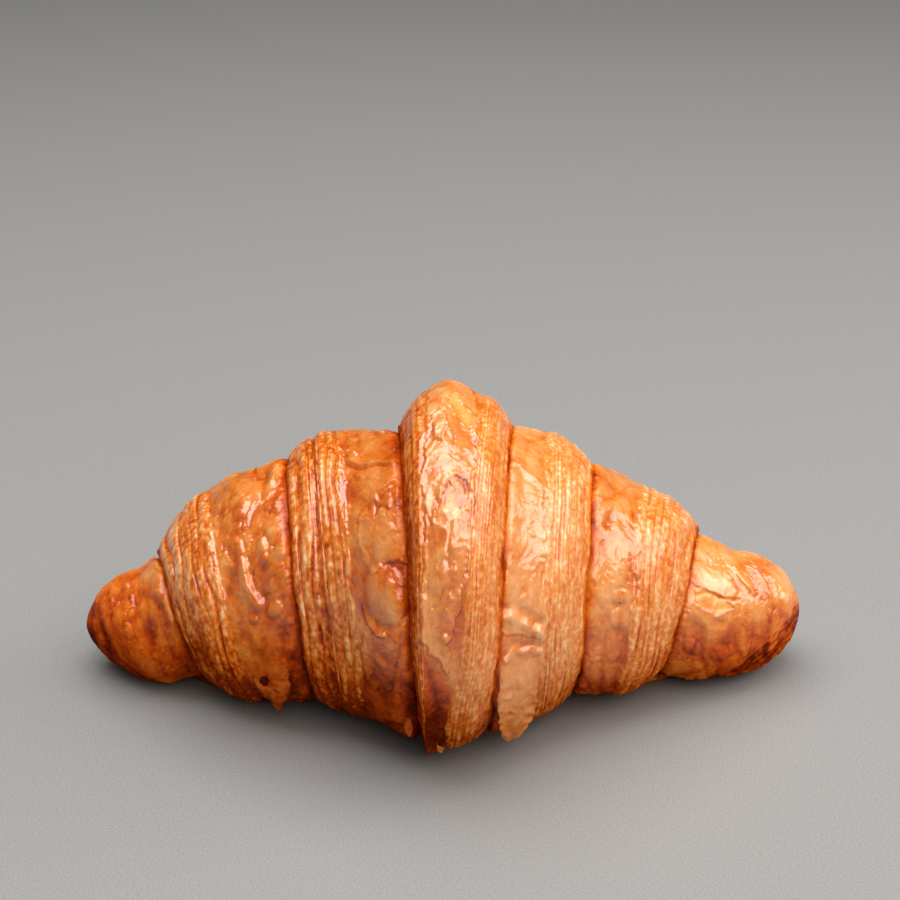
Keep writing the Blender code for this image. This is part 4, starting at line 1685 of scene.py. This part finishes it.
def sheaths() -> list[Sheath]:
    """The seven sheaths of crust, from left to right, each with the marks that baking left on it and with painted shade
    and painted light in its tones.
    """
    # The left sheaths get more browning, and layers that darken more low down, than the right ones, whose layers are
    # paler and softer: painted shade on the left half and painted light on the right. Most dents, cracks and fold
    # troughs carry a darker tone: painted shade.
    left, right = Side.LEFT, Side.RIGHT
    return [
        Horn(
            "horn_left",
            420,
            side=left,
            end=74.9,
            power=0.65,
            seed=31,
            tone=0.06,
            pitch=0.24,
            surface=Skin(33, 0.55, 0.45, 0.4),
            features=(
                Fold(((-57, 52), (-55, 36), (-54, 16)), 0.5, 0.9, 0.2),
                Blister(-62.5, 56, 3.6, 1.2, 0.35, 10),
                Blister(-59, 16, 7.0, 4.0, -0.7, 0, 0.0, 0.18),
                Crease(((-70, 30), (-69, 10), (-67, -16), (-64, -34), (-61, -50)), 0.22, 0.7, 0.10),
                Blister(-70, -10, 22, 8, 0.0, 10, 0.0, 0.16),
            ),
        ),
        SideWrap(
            "third_wrap_left",
            640,
            side=left,
            order=Order.THIRD,
            seed=41,
            tone=0.15,
            foot_rise=1.3,
            leaves=Leaves(5, 0.50, 42, uneven=0.5, beads=0.13, pale=0.05, painted_low_shade=0.56),
            surface=Skin(43, 0.45, 0.60, 0.55, 0.24),
            features=(
                Fold(((-34.8, 16), (-37.4, 27), (-38.2, 40)), 0.8, 1.3, 0.1),
                Blister(-32.3, 13, 3.6, 3.5, 0.55, 0, 0.22, -0.05),
                Blister(-36.6, 11, 2.2, 2.1, 0.40, 0, 0.18),
                Blister(-41, 25, 3.0, 2.6, -0.3, 0, 0.0, 0.15),
                Blister(-36.3, -23, 3.6, 3.2, -0.7, 0, 0.0, 0.55),
                Blister(-39, 45, 6.0, 3.2, 0.45, 12),
                Blister(-34, 41, 6.6, 2.4, 0.55, 4),
                Blister(-30, 38, 5.4, 3.2, 0.45, -8),
                Blister(-32, 61, 5.0, 3.0, 0.40, 30),
                Blister(-38, 66, 6.0, 3.4, 0.45, -20),
            ),
            flakes=(
                Flake(
                    "torn_tongue_left",
                    (
                        (-36.6, -11),
                        (-38.0, -18),
                        (-38.2, -24),
                        (-37.2, -31),
                        (-36.0, -36),
                        (-35.4, -43),
                        (-34.9, -49),
                        (-34.2, -53),
                        (-33.9, -46),
                        (-33.6, -40),
                        (-32.4, -36),
                        (-31.6, -29),
                        (-31.0, -21),
                        (-31.4, -12),
                        (-34, -8),
                    ),
                    (-34, -6),
                    (-34, -54),
                    2.0,
                    hole=(-36.2, -22, 1.1),
                    clear=0.10,
                    ripple=0.45,
                    ragged=0.13,
                    seed=45,
                    tone=0.58,
                    pale=0.05,
                ),
                Flake(
                    "top_flake_left",
                    ((-36.2, 93), (-36.1, 87), (-35.6, 85), (-35.2, 89), (-35.6, 97)),
                    (-35.6, 84),
                    (-35.7, 97),
                    1.1,
                    thickness=0.18,
                    ragged=0.1,
                    seed=46,
                    tone=0.85,
                    pale=0.0,
                    gloss=0.15,
                ),
            ),
        ),
        SideWrap(
            "second_wrap_left",
            700,
            side=left,
            order=Order.SECOND,
            seed=51,
            tone=0.17,
            foot_shade=1.0,
            foot_rise=0.2,
            lip_thickness=1.1,
            leaves=Leaves(7, 0.44, 52, uneven=0.7, painted_low_shade=0.56, grooves=((0.56, 0.05, 0.8),)),
            surface=Skin(53, 0.40, 0.50, 0.5, 0.24),
            features=(
                Blister(-10.4, 20, 11.5, 8.6, 1.0, 0, 0.25, -0.10),
                # A flat darker oval low on the front: painted shade, partly the browner underside too.
                Blister(-11, -22, 26, 14, 0.0, 0, 0.0, 0.16),
                Fold(((-14.8, 15), (-14.2, 9), (-12.6, 5.5), (-10.8, 6)), 0.35, 0.45, 0.2),
                Fold(((-12.2, 53), (-12.2, 58), (-10.5, 61), (-8, 65)), 0.32, 0.8),
                Fold(((-12.2, 54), (-10, 52), (-8.2, 57), (-7.8, 64)), 0.32, 0.8),
                Leaf(
                    (
                        (-15.5, 46),
                        (-13, 47),
                        (-11, 51),
                        (-8, 52),
                        (-5.5, 48),
                        (-5.5, 31),
                        (-8, 33),
                        (-11, 29.5),
                        (-13, 26),
                        (-15, 31),
                        (-15.5, 38),
                    ),
                    0.12,
                    1.3,
                    tone=-0.08,
                    pale=0.20,
                    seed=54,
                ),
                Crease(((-12.4, 27), (-10.4, 31.2), (-8, 32.4), (-6.4, 31)), 0.08, 0.20, 0.12),
                Leaf(
                    (
                        (-15.5, 3),
                        (-11, 7),
                        (-8, 3),
                        (-9, -4),
                        (-9.6, -11),
                        (-11.4, -17),
                        (-14, -20),
                        (-15.2, -14),
                        (-15.6, -6),
                    ),
                    0.15,
                    1.0,
                    tone=-0.03,
                    pale=0.10,
                    seed=56,
                ),
                Leaf(((-14, -13), (-12.4, -12.6), (-12, -15), (-13, -17.4), (-14.2, -16)), -0.45, 0.4, tone=0.5),
                Leaf(((-11.8, -13), (-10.2, -13.6), (-9.8, -15.6), (-11.4, -17)), 0.35, 0.5, pale=0.3, seed=58),
                Fold(((-18, 77), (-15.5, 73), (-12.5, 75), (-9, 73)), 0.5, 0.9, 0.15),
            ),
            flakes=(
                Flake(
                    "lower_chip_left",
                    ((-7.6, -30), (-6.6, -30), (-6.2, -36), (-6.8, -42), (-7.8, -40), (-8, -34)),
                    (-7, -28),
                    (-7, -42),
                    0.6,
                    seed=57,
                    tone=0.55,
                    pale=0.2,
                ),
            ),
        ),
        CentreBand(
            "centre_band",
            650,
            seed=61,
            pitch=0.22,
            tone=0.14,
            foot_shade=1.0,
            lip_shade=0.8,
            surface=Skin(61, 0.35, 0.32, 0.25, 0.34),
            features=(
                Leaf(
                    (
                        (-1.0, 128),
                        (-2.6, 112),
                        (-3.2, 96),
                        (-3.0, 70),
                        (-3.4, 60),
                        (-4.0, 54),
                        (-3.2, 46),
                        (-3.5, 38),
                        (-3.9, 20),
                        (-4.2, 6),
                        (-2.4, 1),
                        (-1.0, -1),
                        (-0.4, -4.5),
                        (0.6, -8),
                        (1.2, -1),
                        (1.0, 4),
                        (2.4, 10),
                        (3.6, 19),
                        (4.9, 28),
                        (5.2, 40),
                        (5.6, 53),
                        (6.2, 70),
                        (6.2, 96),
                        (5.4, 112),
                        (2.6, 122),
                    ),
                    0.22,
                    0.95,
                    tone=-0.03,
                    pale=0.22,
                    curl=0.12,
                    seed=62,
                ),
                Leaf(((-2.4, 80), (0.2, 82), (0.8, 72), (-0.2, 65), (-1.8, 68)), 0.25, 0.7, pale=0.5, curl=0.2, seed=63),
                Leaf(((1.0, 51), (2.2, 46.5), (1.2, 41.5), (0.1, 46)), -0.16, 0.9, tone=0.1, curl=0.1, seed=64),
                Fold(((-1, 45), (0, 50), (2, 53), (4.2, 52.4), (5.2, 48)), 0.35, 0.7, 0.15),
                Fold(((5.3, 56), (5.0, 49), (4.0, 42)), 0.4, 0.7, 0.1),
                Blister(2.8, 34, 17.0, 3.6, 0.65, -6, 0.10, -0.08),
                Leaf(((2.0, 96), (5.0, 84), (5.0, 74), (2.6, 78), (1.0, 88)), -0.12, 1.0, tone=0.0, seed=65),
                Blister(-3.4, -46, 14, 7, -1.0, 0, 0.0),
                # A flat darker oval low on the front: painted shade, partly the browner underside too.
                Blister(-1.6, -27, 38, 9.0, 0.0, 4, 0.0, 0.46),
            ),
            flakes=(
                Flake(
                    "bottom_chip_centre",
                    ((-5.6, -38), (-3.4, -38), (-1.6, -42), (0.2, -46), (-0.6, -50), (-3, -48), (-5.2, -46)),
                    (-3, -36),
                    (-1, -50),
                    0.7,
                    seed=66,
                    tone=0.30,
                    pale=0.5,
                ),
            ),
        ),
        SideWrap(
            "second_wrap_right",
            700,
            side=right,
            order=Order.SECOND,
            seed=71,
            tone=0.02,
            foot_rise=1.4,
            foot_shade=0.35,
            lip_shade=0.25,
            leaves=Leaves(8, 0.30, 72, uneven=0.6, pale=0.13, contrast=0.6, painted_low_shade=0.32),
            surface=Skin(73, 0.42, 0.42, 0.3, 0.30, 0.08),
            features=(
                Leaf(
                    ((10.4, 6), (18.4, 1), (18.8, 20), (18.6, 62), (14, 70), (11.5, 60), (10.6, 38), (11.2, 30)),
                    0.12,
                    1.0,
                    tone=-0.04,
                    pale=0.10,
                    seed=74,
                ),
                Fold(((13, 72), (14.5, 69), (16, 65), (17.6, 63), (19, 59)), 0.35, 1.2, 0.05),
                Fold(((18.6, 3.5), (17.2, 4.6), (16, 7.2), (14.4, 8.6), (13, 11.5), (11.6, 11.8), (10.6, 10.0)), 0.75, 1.5, 0.1),
                Fold(((18.2, -4.6), (16.2, -2.6), (14.8, -3.4), (13.2, -2.0), (11.4, -6)), 0.5, 1.0, 0.1),
            ),
            flakes=(
                Flake(
                    "hanging_flap_right",
                    (
                        (10.4, -6),
                        (14, -3),
                        (18, -5),
                        (18.2, -13),
                        (18, -32),
                        (16.6, -43),
                        (14.6, -52),
                        (13, -51),
                        (11.4, -45),
                        (10.3, -22),
                    ),
                    (14, -2),
                    (14, -52),
                    2.2,
                    clear=0.35,
                    seed=75,
                    tone=0.36,
                    pale=0.35,
                    ripple=0.6,
                ),
            ),
        ),
        SideWrap(
            "third_wrap_right",
            600,
            side=right,
            order=Order.THIRD,
            seed=81,
            tone=0.03,
            foot_rise=1.2,
            foot_shade=0.45,
            lip_shade=0.3,
            leaves=Leaves(7, 0.36, 82, uneven=0.5, beads=0.10, pale=0.12, contrast=0.65, painted_low_shade=0.32),
            surface=Skin(83, 0.45, 0.44, 0.35, 0.24, 0.06),
            features=(
                Blister(31.6, 56, 5.6, 2.6, -0.6, -18, 0.0, 0.14),
                Blister(30.0, 39, 4.6, 1.8, -0.4, 0, 0.0, 0.12),
                Blister(33.0, 38, 4.6, 0.8, -0.4, 0, 0.0, 0.15),
                Blister(34.2, 19, 3.2, 4.6, 0.35, 20, 0.08, -0.04),
                Blister(33.9, 15.4, 0.6, 0.6, -0.3, 0, 0.0, 0.6),
                Blister(34.0, 7.0, 5.0, 4.2, 0.35, 8, 0.08, 0.02),
                Blister(33.4, -8.0, 7.0, 3.6, 0.35, -6, 0.08, 0.04),
            ),
        ),
        Horn(
            "horn_right",
            460,
            side=right,
            end=74.4,
            power=0.55,
            seed=91,
            tone=-0.03,
            pitch=0.24,
            surface=Skin(93, 0.55, 0.42, 0.35, 0.24, 0.10),
            features=(
                Crease(((50, 33), (52, 38), (54, 38), (55.4, 36.6), (59, 38)), 0.28, 0.30, 0.22),
                Crease(((57, 61), (58, 52), (59, 45), (58, 37)), 0.28, 0.30, 0.22),
                Fold(((58, 71), (59.4, 56), (62.4, 42)), 0.45, 0.8),
                Fold(((66.4, 42), (65, 54), (63.4, 66), (61, 76)), 0.5, 0.9),
                Blister(62, 55, 8.0, 3.0, -0.5, 10, 0.0, 0.08),
                RolledEnd(((72.4, 40), (70.6, 18), (67.4, 2), (64.0, -13), (60.6, -27), (56, -40)), 1.6, 0.45, 0.40),
                Blister(50, 9, 5.4, 5.0, -0.7, 0, 0.0, 0.16),
                Blister(50, -9, 4.0, 4.4, 0.5, 0),
                Blister(56, -10, 4.6, 4.0, 0.6, 20),
                Leaf(((49, 40), (55, 38), (58, 30), (54, 22), (50, 26)), -0.15, 0.7, tone=-0.05, seed=95),
            ),
        ),
    ]


def main() -> None:
    """Build the croissant and its set."""
    logging.basicConfig(level=logging.INFO, format="%(name)s: %(message)s")
    bpy.context.scene.view_settings.view_transform = "Standard"
    crust = GlazedCrust().make()
    for sheath in sheaths():
        sheath.build(crust)
    Studio().build()


if __name__ == "__main__":
    main()
